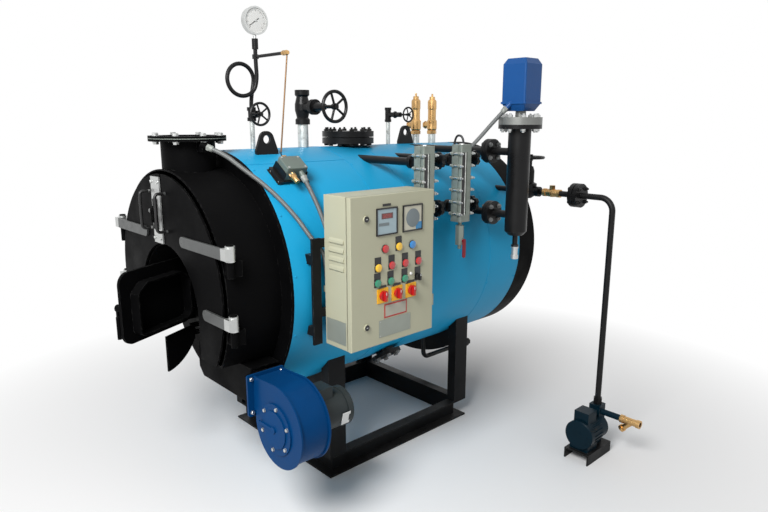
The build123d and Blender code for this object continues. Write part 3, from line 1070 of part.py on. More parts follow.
# The feed line: globe valve, check valve and flange pair on the way from the riser to the drum.
feed_valve_start = feed_valve_x - feed_valve_half
with BuildPart() as feed_valve:
    length = 2 * feed_valve_half
    turned([(0, 0), (feed_end_radius, 0), (feed_end_radius, feed_end_length),
            (feed_end_radius - feed_stem_radius, feed_end_length),
            (feed_valve_body, feed_valve_half - feed_stem_radius), (feed_valve_body, feed_valve_half + feed_stem_radius),
            (feed_end_radius - feed_stem_radius, length - feed_end_length), (feed_end_radius, length - feed_end_length),
            (feed_end_radius, length), (0, length)], (feed_valve_start, feed_y, feed_z), (1, 0, 0))
    bonnet = feed_bonnet_top - feed_z
    turned([(0, 0), (feed_bonnet_flange, 0), (feed_bonnet_flange, feed_valve_body),
            (feed_bonnet_radius, feed_valve_body + feed_stem_radius), (feed_bonnet_radius, bonnet - feed_end_length),
            (feed_bonnet_radius - feed_stem_radius, bonnet), (0, bonnet)], (feed_valve_x, feed_y, feed_z), (0, 0, 1))
    stem_and_nut((feed_valve_x, feed_y, feed_z), (0, 0, 1), (feed_valve_x, feed_y, feed_wheel_z),
                 feed_wheel_radius, feed_stem_radius)
finish(feed_valve.part, "feed_valve")

with BuildPart() as feed_wheel:
    side_wheel((feed_valve_x, feed_y, feed_wheel_z), (0, 0, 1), feed_wheel_radius, feed_stem_radius)
finish(feed_wheel.part, "feed_wheel")

pair_half = feed_pair_thickness + feed_pair_gap / 2
with BuildPart() as feed_pipes:
    for start, end in ((0, feed_valve_start), (feed_valve_x + feed_valve_half, check_x - check_half),
                       (check_x + check_half, feed_pair_x - pair_half)):
        rod((start, feed_y, feed_z), (1, 0, 0), feed_pipe_radius, end - start)
    flange_pair((feed_pair_x, feed_y, feed_z), (1, 0, 0), feed_pair_radius, feed_pair_thickness, feed_pair_gap)
    pipe([(feed_pair_x + pair_half, feed_y, feed_z), (riser_x, feed_y, feed_z), (riser_x, feed_y, union_top)],
         feed_pipe_radius, riser_bend_radius)
    hexagon((riser_x, feed_y, union_top), (0, 0, -1), union_radius, union_length)
    drum_cut(shell_radius + seat_gap)
finish(feed_pipes.part, "feed_pipes")

# The feed pump: a channel base, a finned motor along Y and the pump head with its two ports.
with BuildPart() as pump_base:
    low_x = riser_x - pump_base_width / 2
    block((low_x, pump_base_front, 0), (low_x + pump_base_width, pump_base_front + pump_base_length, pump_base_height))
    block((low_x + pump_base_wall, pump_base_front, 0),
          (low_x + pump_base_width - pump_base_wall, pump_base_front + pump_base_length,
           pump_base_height - pump_base_wall), mode=Mode.SUBTRACT)
finish(pump_base.part, "pump_base")

with BuildPart() as pump_motor:
    centre = (riser_x, pump_motor_front, pump_axis_z)
    length = pump_motor_back - pump_motor_front
    with BuildSketch(facing_front(pump_motor_front + pump_fan_length)):
        with Locations((riser_x, pump_axis_z)):
            Circle(pump_motor_radius - pump_fin)
            with PolarLocations(pump_motor_radius - pump_fin, pump_fins):
                Rectangle(2 * pump_fin, pump_fin)
    extrude(amount=pump_fan_length - length)
    turned([(0, 0), (pump_fan_radius - pump_fin, 0), (pump_fan_radius, pump_fin), (pump_fan_radius, pump_fan_length),
            (0, pump_fan_length)], centre, (0, 1, 0))
    block((riser_x - pump_box / 2, pump_box_y - pump_box / 2, pump_axis_z),
          (riser_x + pump_box / 2, pump_box_y + pump_box / 2, pump_axis_z + pump_motor_radius + pump_box_height))
    block((riser_x - pump_foot_width / 2, pump_box_y - pump_foot_length / 2, pump_base_height),
          (riser_x + pump_foot_width / 2, pump_box_y + pump_foot_length / 2, pump_axis_z))
finish(pump_motor.part, "pump_motor")

with BuildPart() as pump_head:
    turned([(0, 0), (pump_head_radius, 0), (pump_head_radius, pump_head_length - pump_fin),
            (pump_head_radius - pump_fin, pump_head_length), (0, pump_head_length)],
           (riser_x, pump_motor_back, pump_axis_z), (0, 1, 0))
    block((riser_x - port_width / 2, feed_y - port_width / 2, pump_axis_z),
          (riser_x + port_width / 2, feed_y + port_width / 2, union_top - union_length))
    rod((riser_x, feed_y, suction_z), (1, 0, 0), suction_radius, suction_end - riser_x)
    block((riser_x - port_width / 2, pump_motor_back, pump_base_height),
          (riser_x + port_width / 2, pump_motor_back + pump_head_length, pump_axis_z))
finish(pump_head.part, "pump_head")

# The brass fittings of the feed: the check valve on the line and the strainer at the suction port.
with BuildPart() as brass_fittings:
    length = 2 * check_half
    turned([(0, 0), (check_end_radius, 0), (check_end_radius, check_end_length),
            (check_radius - brass_wall, check_end_length), (check_radius, check_half),
            (check_radius - brass_wall, length - check_end_length), (check_end_radius, length - check_end_length),
            (check_end_radius, length), (0, length)], (check_x - check_half, feed_y, feed_z), (1, 0, 0))
    hexagon((check_x, feed_y, feed_z), (0, 0, 1), check_cap_radius, check_cap_rise)
    turned([(suction_radius - brass_wall, 0), (strainer_end_radius, 0), (strainer_end_radius, strainer_end_length),
            (strainer_radius, strainer_end_length), (strainer_radius, strainer_length - strainer_end_length),
            (strainer_end_radius, strainer_length - strainer_end_length), (strainer_end_radius, strainer_length),
            (suction_radius - brass_wall, strainer_length)], (suction_end, feed_y, suction_z), (1, 0, 0))
    leg_from = (suction_end + strainer_length / 2, feed_y, suction_z - strainer_radius / 2)
    turned([(0, 0), (strainer_leg_radius, 0), (strainer_leg_radius, strainer_leg_length),
            (strainer_cap_radius, strainer_leg_length), (strainer_cap_radius, strainer_leg_length + strainer_cap_length),
            (0, strainer_leg_length + strainer_cap_length)], leg_from, (-1, 0, -1))
    rod((suction_end, feed_y, suction_z), (1, 0, 0), suction_radius - brass_wall, strainer_length, mode=Mode.SUBTRACT)
finish(brass_fittings.part, "brass_fittings")

# The blowdown pipe: down from the drum's belly, back along +Y, and its valve past the rear legs.
with BuildPart() as blowdown:
    pipe([(blow_x, blow_y, axis_height - shell_radius + root_depth), (blow_x, blow_y, blow_low),
          (blow_x, blow_end_y, blow_low)], blow_radius, blow_bend_radius)
    hexagon((blow_x, blow_end_y, blow_low), (0, 1, 0), blow_collar_radius, blow_collar_length)
    rod((blow_x, blow_end_y + blow_collar_length, blow_low), (0, 1, 0), blow_valve_radius,
        blow_valve_length - 2 * blow_collar_length)
    hexagon((blow_x, blow_end_y + blow_valve_length - blow_collar_length, blow_low), (0, 1, 0), blow_collar_radius,
            blow_collar_length)
    rod((blow_x, blow_end_y + blow_valve_length, blow_low), (0, -1, 0), blow_radius, 2 * blow_collar_length,
        mode=Mode.SUBTRACT)
    drum_cut(shell_radius + seat_gap)
finish(blowdown.part, "blowdown")

# The conduits and the cable that hang free.
cord("flue_conduit", flue_route, conduit_radius)
cord("switch_conduit", switch_route, conduit_radius)
cord("controller_conduit", controller_route, conduit_radius)
cord("cable_loop", cable_route, cable_radius)
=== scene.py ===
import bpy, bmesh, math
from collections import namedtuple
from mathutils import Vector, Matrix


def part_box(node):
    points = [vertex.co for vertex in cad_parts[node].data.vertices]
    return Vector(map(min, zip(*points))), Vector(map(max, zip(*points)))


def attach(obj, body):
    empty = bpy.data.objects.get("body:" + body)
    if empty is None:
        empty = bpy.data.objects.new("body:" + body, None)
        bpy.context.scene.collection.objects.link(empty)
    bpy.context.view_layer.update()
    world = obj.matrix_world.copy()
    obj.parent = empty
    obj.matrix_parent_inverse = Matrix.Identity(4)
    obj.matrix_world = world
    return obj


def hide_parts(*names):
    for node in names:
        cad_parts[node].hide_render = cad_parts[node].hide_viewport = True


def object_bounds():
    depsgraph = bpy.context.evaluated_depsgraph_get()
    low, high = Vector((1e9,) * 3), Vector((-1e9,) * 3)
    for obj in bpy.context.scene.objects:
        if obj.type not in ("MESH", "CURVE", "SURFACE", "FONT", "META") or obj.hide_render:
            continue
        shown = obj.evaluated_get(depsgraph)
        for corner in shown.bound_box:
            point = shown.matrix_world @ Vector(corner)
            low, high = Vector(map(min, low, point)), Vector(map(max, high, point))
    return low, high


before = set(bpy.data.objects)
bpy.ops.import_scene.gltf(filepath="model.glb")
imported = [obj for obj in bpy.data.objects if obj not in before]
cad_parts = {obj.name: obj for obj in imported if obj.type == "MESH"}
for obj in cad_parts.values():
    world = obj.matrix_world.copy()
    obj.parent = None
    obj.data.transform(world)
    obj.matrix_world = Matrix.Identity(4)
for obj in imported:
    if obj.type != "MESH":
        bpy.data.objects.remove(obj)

# %% [markdown]
# A steam boiler of this kind is shop built: a blue clad drum on a black channel skid, a cast
# iron front, and bought-in fittings bolted on all round. The frame that was just loaded holds
# every rolled, welded and cast form at its true place. This script adds what a fitter and a
# painter add: conduits, bolts, instrument faces, small plates and the finishes. The box of
# the bare frame is kept, because the dressed boiler must not outgrow it.

# %% Measure the bare frame
frame_low, frame_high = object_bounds()
print("frame box", [round(v, 3) for v in (*frame_low, *frame_high)])

# %% Directions, and a node's box to a tenth of a millimetre
to_panel, to_back, to_front, to_top = (1, 0, 0), (0, 1, 0), (0, -1, 0), (0, 0, 1)
Corner = namedtuple("Corner", "x y z")
Box = namedtuple("Box", "low high middle")


def box_of(node):
    low, high = [Corner(*(round(v, 4) for v in corner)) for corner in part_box(node)]
    return Box(low, high, Corner(*(round((a + b) / 2, 4) for a, b in zip(low, high))))


drum = box_of("rear_cover")
print("drum axis at height", drum.middle.z, "radius", drum.high.x)

# %% [markdown]
# The camera stands where a person's eye would be, off the front corner on the panel side.
# A short lens from close by gives the strong perspective that makes the front of the drum
# look much larger than its back. A long lens from far away would flatten it, so the distance
# comes first and the lens follows from it.

# %% Set the camera
def new_object(name, data):
    made = bpy.data.objects.new(name, data)
    bpy.context.scene.collection.objects.link(made)
    return made


looks_down, turned_left = math.radians(12.245), math.radians(47.19)
eye = new_object("eye", bpy.data.cameras.new("eye"))
eye.data.lens = 29.38
eye.data.sensor_width = 36.0
eye.data.clip_end = 80.0
eye.location = (2.3952, -1.5519, 1.55)
eye.rotation_euler = (math.radians(90) - looks_down, 0.0, turned_left)
bpy.context.scene.camera = eye
print("eye height", eye.location.z, "lens", eye.data.lens)

# %% [markdown]
# Three wires on the real boiler run in ribbed metal conduit, and one small cable loops from
# the second level gauge into its arm. A conduit is stiff but springy, so its line is one
# smooth curve through a few points: a NURBS curve does that, while a row of straight pieces
# would look like bent wire. The ribs are real geometry: rings of two sizes, set one after
# another along the curve's own points, because a bump alone leaves the outline smooth. The
# same skin with no groove gives the plain cable. Every route is a list of points in metres.

# %% Draw a route and read its line
def route_curve(name, points):
    line = bpy.data.curves.new(name, "CURVE")
    line.dimensions, line.resolution_u = "3D", 24
    spline = line.splines.new("NURBS")
    spline.points.add(len(points) - 1)
    for held, point in zip(spline.points, points):
        held.co = (*point, 1.0)
    spline.order_u, spline.use_endpoint_u = 3, True
    return new_object(name, line)


def line_points(curve_object):
    bpy.context.view_layer.update()
    read = bpy.data.meshes.new_from_object(curve_object)
    points = [v.co.copy() for v in read.vertices]
    bpy.data.meshes.remove(read)
    return points


def evenly(points, step):
    placed = [points[0].copy()]
    left = step
    for a, b in zip(points, points[1:]):
        run = (b - a).length
        while left <= run:
            placed.append(a.lerp(b, left / run))
            left += step
        left -= run
    return placed + [points[-1].copy()]


# %% Wrap a ribbed hose round a line
def ribbed_hose(name, points, radius, rib, groove, sides=14):
    curve_object = route_curve(name + "_line", points)
    path = line_points(curve_object)
    bpy.data.objects.remove(curve_object)
    rings = evenly(path, rib / 4)    # four rings a rib: two stand out, two lie in the groove
    mesh, shell = bpy.data.meshes.new(name), bmesh.new()
    across, last = None, None
    for i, point in enumerate(rings):
        ahead = (rings[min(i + 1, len(rings) - 1)] - rings[max(i - 1, 0)]).normalized()
        across = across or ahead.orthogonal()
        across = across - ahead * ahead.dot(across)
        across.normalize()
        other = ahead.cross(across)
        reach = radius if i % 4 < 2 else radius - groove
        ring = [shell.verts.new(point + (across * math.cos(a) + other * math.sin(a)) * reach)
                for a in (math.tau * k / sides for k in range(sides))]
        if last:
            for k in range(sides):
                shell.faces.new((last[k - 1], last[k], ring[k], ring[k - 1]))
        else:
            shell.faces.new(reversed(ring))
        last = ring
    shell.faces.new(last)
    shell.normal_update()
    bmesh.ops.recalc_face_normals(shell, faces=shell.faces)
    shell.to_mesh(mesh)
    shell.free()
    mesh.shade_smooth()
    length = sum((b - a).length for a, b in zip(path, path[1:]))
    print(name, "length", round(length, 3), "rings", len(rings))
    return new_object(name, mesh), path, length


# %% Hang the three conduits
flue_points = [(.167, -.400, 1.448), (.228, -.368, 1.425), (.290, -.330, 1.372), (.366, -.268, 1.303),
               (.454, -.210, 1.201), (.508, -.171, 1.107), (.5395, -.130, 1.048), (.5395, -.130, .930)]
switch_points = [(.3747, -.110, 1.3323), (.428, -.104, 1.264), (.480, -.100, 1.180), (.520, -.094, 1.090),
                 (.5395, -.088, 1.026), (.5395, -.088, .930)]
controller_points = [(.701, .742, 1.600), (.664, .704, 1.542), (.632, .668, 1.485), (.598, .634, 1.432),
                     (.570, .622, 1.404)]
conduits = []
for name, node, points in (("flue_hose", "flue_conduit", flue_points),
                           ("switch_hose", "switch_conduit", switch_points),
                           ("controller_hose", "controller_conduit", controller_points)):
    hose, path, length = ribbed_hose(name, points, radius=0.009, rib=0.0056, groove=0.0011)
    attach(hose, "boiler")
    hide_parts(node)
    conduits.append(hose)

# %% Hang the small cable loop
cable_points = [(.602, .580, 1.444), (.602, .580, 1.484), (.553, .573, 1.484), (.553, .573, 1.396)]
cable, cable_path, cable_length = ribbed_hose("gauge_cable", cable_points, radius=0.0048, rib=0.012,
                                              groove=0.0)
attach(cable, "boiler")
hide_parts("cable_loop")

# %% [markdown]
# Every finish here is one of a few effects laid over a plain colour: thin uneven paint, a fine
# orange peel, metal that shows where an edge has been rubbed, and dust that settles on what
# faces up. Each effect is built once as a node group that puts out a colour, a mask or a
# height, and each material places it with its own numbers. The shader itself stays in the
# material, so its constants remain plain values.

# %% Helpers for node trees
def add(tree, kind, inputs=None, **settings):
    made = tree.nodes.new(kind)
    for name, value in settings.items():
        setattr(made, name, value)
    for socket, value in (inputs or {}).items():
        if isinstance(value, bpy.types.NodeSocket):
            tree.links.new(value, made.inputs[socket])
        else:
            made.inputs[socket].default_value = value
    return made


def new_group(name, inputs, outputs):
    tree = bpy.data.node_groups.new(name, "ShaderNodeTree")
    for label, kind, value in inputs:
        tree.interface.new_socket(label, in_out="INPUT", socket_type=kind).default_value = value
    for label, kind in outputs:
        tree.interface.new_socket(label, in_out="OUTPUT", socket_type=kind)
    print("group", name)
    return tree, tree.nodes.new("NodeGroupInput").outputs, tree.nodes.new("NodeGroupOutput").inputs


# %% Short names for the commonest nodes
def maths(tree, how, a, b):
    return add(tree, "ShaderNodeMath", {0: a, 1: b}, operation=how).outputs[0]


def vector_maths(tree, how, a, b):
    return add(tree, "ShaderNodeVectorMath", {0: a, 1: b}, operation=how)


def own_place(tree):
    return add(tree, "ShaderNodeTexCoord").outputs["Object"]


def noise(tree, place, scale, detail, rough=.5):
    inputs = {"Vector": place, "Scale": scale, "Detail": detail, "Roughness": rough}
    return add(tree, "ShaderNodeTexNoise", inputs).outputs["Fac"]


def ramp(tree, value, low, high, to_low=0.0, to_high=1.0):
    inputs = {"Value": value, "From Min": low, "From Max": high, "To Min": to_low, "To Max": to_high}
    return add(tree, "ShaderNodeMapRange", inputs).outputs[0]


# %% Group: uneven paint
number, colour_socket = "NodeSocketFloat", "NodeSocketColor"
uneven, given, out = new_group(
    "Uneven Paint",
    [("Colour", colour_socket, (.5, .5, .5, 1)), ("Depth", number, .1), ("Scale", number, 6.0),
     ("Roughness", number, .4)],
    [("Colour", colour_socket), ("Roughness", number)])
cloud = noise(uneven, own_place(uneven), given["Scale"], 5.0, .6)
swing = ramp(uneven, cloud, .3, .7, -1.0, 1.0)
deep = maths(uneven, "MULTIPLY", swing, given["Depth"])
light = maths(uneven, "ADD", deep, 1.0)
tinted = add(uneven, "ShaderNodeHueSaturation", {"Color": given["Colour"], "Value": light})
uneven.links.new(tinted.outputs[0], out["Colour"])
uneven.links.new(maths(uneven, "ADD", deep, given["Roughness"]), out["Roughness"])

# %% Group: fine grain, as a height
grain, given, out = new_group(
    "Fine Grain", [("Scale", number, 500.0), ("Stretch", number, 1.0)], [("Height", number)])
squeeze = add(grain, "ShaderNodeCombineXYZ", {"X": 1.0, "Y": 1.0, "Z": given["Stretch"]})
stretched = vector_maths(grain, "MULTIPLY", own_place(grain), squeeze.outputs[0])
grain.links.new(noise(grain, stretched.outputs[0], given["Scale"], 2.0), out["Height"])

# %% Group: rubbed edges, as a mask
rubbed, given, out = new_group(
    "Rubbed Edges", [("Width", number, .002), ("Amount", number, .5)], [("Mask", number)])
round_edge = add(rubbed, "ShaderNodeBevel", {"Radius": given["Width"]}, samples=4)
flat_face = add(rubbed, "ShaderNodeNewGeometry").outputs["Normal"]
turn = vector_maths(rubbed, "DOT_PRODUCT", round_edge.outputs[0], flat_face)
corner = ramp(rubbed, turn.outputs["Value"], .96, .80)
patch = ramp(rubbed, noise(rubbed, own_place(rubbed), 45.0, 4.0), .45, .62)
both = maths(rubbed, "MULTIPLY", corner, patch)
rubbed.links.new(maths(rubbed, "MULTIPLY", both, given["Amount"]), out["Mask"])

# %% Group: settled dust, as a mask
dusty, given, out = new_group(
    "Settled Dust", [("Amount", number, .2), ("Scale", number, 9.0)], [("Mask", number)])
face_normal = add(dusty, "ShaderNodeNewGeometry").outputs["Normal"]
upward = add(dusty, "ShaderNodeSeparateXYZ", {0: face_normal}).outputs["Z"]
drift = noise(dusty, own_place(dusty), given["Scale"], 6.0, .7)
lies = maths(dusty, "MULTIPLY", ramp(dusty, upward, .2, 1.0), drift)
dusty.links.new(maths(dusty, "MULTIPLY", lies, given["Amount"]), out["Mask"])

# %% Group: between two planes, as a mask
between, given, out = new_group(
    "Between Planes",
    [("Along", "NodeSocketVector", to_top), ("From", number, 0.0), ("To", number, 1.0)],
    [("Mask", number)])
reach = vector_maths(between, "DOT_PRODUCT", own_place(between), given["Along"]).outputs["Value"]
above = maths(between, "GREATER_THAN", reach, given["From"])
below = maths(between, "LESS_THAN", reach, given["To"])
between.links.new(maths(between, "MULTIPLY", above, below), out["Mask"])

# %% [markdown]
# One recipe then serves every painted, plated and moulded surface. Paint over steel keeps a
# Metallic of 0 and shows bare metal only through the rubbed edge mask. Plated and bare metals
# start higher, the brightest near 1. Two more numbers set how deep the grain is and how fine.
# A zone gives one end of a part another colour, as where a grip is dipped in black.

# %% The recipe for a finish
dust_colour, bare_steel = (.30, .29, .27), (.34, .34, .33)


def lay_over(tree, mask, below, colour):
    return add(tree, "ShaderNodeMix", {0: mask, 6: below, 7: (*colour, 1)}, data_type="RGBA").outputs[2]


def finish(name, colour, roughness, metallic=0.0, depth=.10, scale=6.0, grain_scale=420.0,
           grain_depth=.0004, stretch=1.0, wear=0.0, dust=0.0, coat=0.0, gloss=.5, zones=()):
    made = bpy.data.materials.new(name)
    made.use_nodes = True
    tree = made.node_tree
    shader = tree.nodes["Principled BSDF"].inputs
    painted = {"Colour": (*colour, 1), "Depth": depth, "Scale": scale, "Roughness": roughness}
    paint = add(tree, "ShaderNodeGroup", painted, node_tree=uneven)
    top, metal = paint.outputs["Colour"], metallic
    for zone_colour, zone_metal, planes in zones:
        mask = 1.0
        for along, low, high in planes:
            span = {"Along": along, "From": low, "To": high}
            inside = add(tree, "ShaderNodeGroup", span, node_tree=between)
            mask = maths(tree, "MULTIPLY", mask, inside.outputs["Mask"])
        top = lay_over(tree, mask, top, zone_colour)
        metal = add(tree, "ShaderNodeMix", {0: mask, 2: metal, 3: zone_metal}, data_type="FLOAT").outputs[0]
    if dust:
        film = add(tree, "ShaderNodeGroup", {"Amount": dust}, node_tree=dusty)
        top = lay_over(tree, film.outputs["Mask"], top, dust_colour)
    if wear:
        edge = add(tree, "ShaderNodeGroup", {"Amount": wear}, node_tree=rubbed)
        top = lay_over(tree, edge.outputs["Mask"], top, bare_steel)
    tree.links.new(top, shader["Base Color"])
    tree.links.new(paint.outputs["Roughness"], shader["Roughness"])
    if zones:
        tree.links.new(metal, shader["Metallic"])
    else:
        shader["Metallic"].default_value = metallic
    shader["Coat Weight"].default_value = coat
    shader["Specular IOR Level"].default_value = gloss
    peel = add(tree, "ShaderNodeGroup", {"Scale": grain_scale, "Stretch": stretch}, node_tree=grain)
    raised = {"Height": peel.outputs["Height"], "Strength": .5, "Distance": grain_depth}
    tree.links.new(add(tree, "ShaderNodeBump", raised).outputs[0], shader["Normal"])
    print("finish", name)
    return made


# %% Painted finishes
drum_blue = finish("clad_blue", (.010, .325, .590), .42, depth=.06, scale=2.2, grain_scale=160,
                   dust=.03, gloss=.18)
front_black = finish("stove_black", (.0022, .0022, .0024), .52, depth=.16, scale=5, dust=.006,
                     wear=.16, gloss=.03)
frame_black = finish("skid_black", (.0070, .0074, .0080), .48, depth=.22, dust=.05, wear=.34, gloss=.10)
pipe_black = finish("fitting_black", (.0060, .0060, .0063), .36, depth=.15, dust=.02, wear=.22, gloss=.20)
fan_blue = finish("fan_blue", (.0010, .0400, .1400), .38, depth=.10, dust=.008, gloss=.06)
head_blue = finish("controller_blue", (.007, .070, .245), .36, depth=.05, gloss=.26)
pump_teal = finish("pump_teal", (.0020, .0130, .0220), .38, depth=.12, dust=.01, wear=.2, gloss=.08)
motor_black = finish("motor_grey", (.0200, .0260, .0270), .46, depth=.12, dust=.03, gloss=.22)
cabinet_cream = finish("cabinet_cream", (.420, .415, .300), .46, depth=.035, scale=3, grain_scale=900)

# %% Plated and bare metals
gauge_grey = finish("gauge_grey", (.225, .255, .225), .42, metallic=.30, depth=.14, scale=30, dust=.05)
zinc = finish("dull_zinc", (.200, .206, .204), .44, metallic=.70, depth=.18, scale=26, grain_scale=260)
bright_zinc = finish("bright_bolt", (.560, .570, .560), .30, metallic=.9, depth=.12, scale=60)
galvanised = finish("galvanised", (.600, .625, .605), .36, metallic=.65, depth=.16, scale=38)
cast_aluminium = finish("cast_aluminium", (.200, .206, .196), .46, metallic=.7, depth=.12, scale=20)
brass = finish("brass", (.580, .360, .150), .31, metallic=.95, depth=.20, scale=22)
copper_tube = finish("capillary_tube", (.230, .130, .060), .42, metallic=.8, depth=.2)
hose_grey = finish("hose_grey", (.150, .158, .156), .48, metallic=.35, depth=.10)
steel_plate = finish("steel_plate", (.285, .310, .270), .40, metallic=.25, depth=.10, stretch=.1,
                     grain_scale=300)

# %% Plastics and the white plate
red_plastic = finish("red_plastic", (.420, .008, .010), .30, depth=.06, coat=.15)
lever_red = finish("lever_red", (.220, .006, .014), .36, depth=.06, gloss=.3)
black_plastic = finish("black_plastic", (.012, .012, .013), .34, depth=.10)
yellow_plastic = finish("yellow_plastic", (.800, .420, .015), .36, depth=.05)
white_plate = finish("white_plate", (.640, .650, .640), .38, depth=.05, scale=20)

# %% Finishes with zones
shoulder = math.radians(35)    # how far round the drum the pressure switch sits
out_of_drum = Vector((math.sin(shoulder), 0, math.cos(shoulder)))
up_the_drum = Vector((-math.cos(shoulder), 0, math.sin(shoulder)))
switch_middle = Vector((.3264, box_of("pressure_switch").middle.y, 1.3661))
switch_foot = switch_middle.dot(out_of_drum) - .0285
silver, dipped, beyond = (.540, .550, .540), (.0050, .0050, .0052), 9.0
knuckle, seat = .466, .66    # where the straps' knuckles and the drain cocks' seats begin
strap_zones = [(silver, .85, [(to_panel, knuckle, beyond)]),
               (silver, .85, [(to_panel, -beyond, -knuckle)]),
               (silver, .80, [(to_panel, -.115, .0)]),
               (dipped, .0, [(to_panel, -.13, .13), (to_back, -beyond, -.5335), (to_top, 1.10, 1.28)])]
drain_zones = [((.215, .245, .215), .25, [(to_back, -beyond, seat)]),
               (silver, .80, [(to_back, seat, beyond), (to_top, -beyond, .982)])]
strap_zinc = finish("strap_zinc", (.105, .109, .108), .42, metallic=.60, depth=.18, scale=26, stretch=.2,
                    grain_scale=260, zones=strap_zones)
switch_grey = finish("switch_grey", (.120, .150, .130), .45, depth=.08,
                     zones=[(dipped, .0, [(out_of_drum, -beyond, switch_foot)])])
drain_cast = finish("drain_cast", (.0060, .0060, .0063), .38, depth=.15, zones=drain_zones)

# %% Give each frame node its finish
node_finish = {
    drum_blue: "lagged_shell",
    front_black: "rear_cover tube_plate furnace fire_door ash_door smokebox smoke_door_left"
                 " smoke_door_right chimney wind_box fire_latch",
    frame_black: "skid_frame panel_posts pump_base",
    pipe_black: "siphon gauge_valve gauge_valve_wheel top_valves steam_wheel vent_wheel"
                " inspection_flanges lifting_lugs feed_pipes feed_valve feed_wheel float_chamber"
                " gauge_arms cock_wheel_1 cock_wheel_2 cock_wheel_3 cock_wheel_4 blowdown",
    strap_zinc: "strap_set_left strap_set_right",
    drain_cast: "drain_cocks",
    fan_blue: "blower_housing",
    motor_black: "blower_motor",
    cabinet_cream: "panel_box panel_door",
    galvanised: "top_pipes",
    switch_grey: "pressure_switch",
    gauge_grey: "level_gauges",
    cast_aluminium: "chamber_head",
    head_blue: "controller_housing",
    brass: "brass_fittings safety_valves",
    pump_teal: "pump_motor pump_head",
    lever_red: "drain_lever",
    red_plastic: "isolator_a isolator_b isolator_c",
    black_plastic: "selector",
    bright_zinc: "dial_gauge",
    hose_grey: "panel_instruments"}
for material, names in node_finish.items():
    for name in names.split():
        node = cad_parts[name]
        node.data.materials.clear()
        node.data.materials.append(material)
for hose in conduits:
    hose.data.materials.append(hose_grey)
cable.data.materials.append(black_plastic)
bare_nodes = [name for name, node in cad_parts.items()
              if not node.data.materials or node.data.materials[0] not in node_finish]
print("nodes with no finish yet", bare_nodes)

# %% [markdown]
# The small parts that follow are bolts, nuts, bezels and plates. They are all either turned,
# so an outline spun round an axis gives them, or sawn from plate, so a block with its edges
# broken does. An outline is a list of pairs: how far from the axis, and how far along it. A
# last helper makes the finished mesh a piece, with its materials and the body that it moves
# with. One mesh of many bolts is lighter to handle than many single ones. In each piece, a
# number called look says which of its materials a face wears.

# %% Turn an outline round an axis
def lathe(shell, at, along, outline, sides=20, look=0, capped=True):
    along = Vector(along).normalized()
    across = along.orthogonal().normalized()
    other = along.cross(across)
    rings = []
    for reach, height in outline:
        centre = Vector(at) + along * height
        if reach <= 0:
            rings.append([shell.verts.new(centre)])
        else:
            rings.append([shell.verts.new(centre + (across * math.cos(a) + other * math.sin(a)) * reach)
                          for a in (math.tau * k / sides for k in range(sides))])
    made = []
    for low, high in zip(rings, rings[1:]):
        for k in range(sides):
            if len(high) == 1:
                corners = (low[k - 1], low[k], high[0])
            else:
                corners = (low[k - 1], low[k], high[k], high[k - 1])
            made.append(shell.faces.new(corners))
    for ring in (rings[0], rings[-1]):
        if len(ring) > 1 and capped:
            made.append(shell.faces.new(ring))
    for face in made:
        face.material_index = look


# %% A block with broken edges
def slab(shell, low, high, edge=.001, look=0, turn=None):
    size = [b - a for a, b in zip(low, high)]
    middle = Vector([(a + b) / 2 for a, b in zip(low, high)])
    fresh = bmesh.new()
    bmesh.ops.create_cube(fresh, size=1.0)
    bmesh.ops.scale(fresh, vec=size, verts=fresh.verts)
    if edge:
        bmesh.ops.bevel(fresh, geom=list(fresh.edges), offset=min(edge, min(size) * .45), segments=2,
                        affect="EDGES")
    if turn:
        fresh.transform(turn)
    fresh.transform(Matrix.Translation(middle))
    copies = {v: shell.verts.new(v.co) for v in fresh.verts}
    for face in fresh.faces:
        shell.faces.new([copies[v] for v in face.verts]).material_index = look
    fresh.free()


# %% A bolt head or a nut, with its washer and any thread that stands out
def bolt(shell, at, along, across, look=0, thread=0.0):
    half = across / 2
    if thread:
        stud = [(half * .56, 0), (half * .56, thread - half * .1), (half * .46, thread)]
        lathe(shell, at, along, stud, 10, look)
    washer = [(half * 1.22, 0), (half * 1.22, half * .16), (half * .9, half * .16)]
    hexagon = [(half * 1.15, half * .16), (half * 1.15, half * .92), (half * .98, half * 1.08)]
    lathe(shell, at, along, washer, 16, look)
    lathe(shell, at, along, hexagon, 6, look)


# %% Make the mesh a piece
def piece(name, body, looks, draw, *stands_for):
    mesh, shell = bpy.data.meshes.new(name), bmesh.new()
    draw(shell)
    bmesh.ops.recalc_face_normals(shell, faces=shell.faces)
    shell.to_mesh(mesh)
    shell.free()
    mesh.shade_smooth()
    mesh.set_sharp_from_angle(angle=math.radians(32))
    for look in looks:
        mesh.materials.append(look)
    made = new_object(name, mesh)
    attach(made, body)
    if stands_for:
        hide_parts(*stands_for)
    print(name, len(mesh.polygons), "faces")


def circle_of(count, radius, start=0.0):
    return [(radius * math.cos(a), radius * math.sin(a)) for a in
            (start + math.tau * k / count for k in range(count))]

# %% [markdown]
# The cabinet door carries two meters, ten signal lamps, a row of knobs with their plates, and
# small dark tags. A lamp is a domed lens in a dark bezel ring; a meter is a dark frame with a
# face set back behind it. The faces get plain generic displays. They replace the plain solids
# of the frame, which stay where they are for collisions.

# %% Finishes of the instruments
def face_finish(name, colour, roughness, depth=.03, coat=0.0):
    return finish(name, colour, roughness, depth=depth, coat=coat, grain_depth=.00005)


def lens_finish(name, colour, glow):
    made = face_finish(name, colour, .16, depth=.04, coat=.8)
    shader = made.node_tree.nodes["Principled BSDF"]
    shader.inputs["Emission Color"].default_value = (*colour, 1)
    shader.inputs["Emission Strength"].default_value = glow
    return made


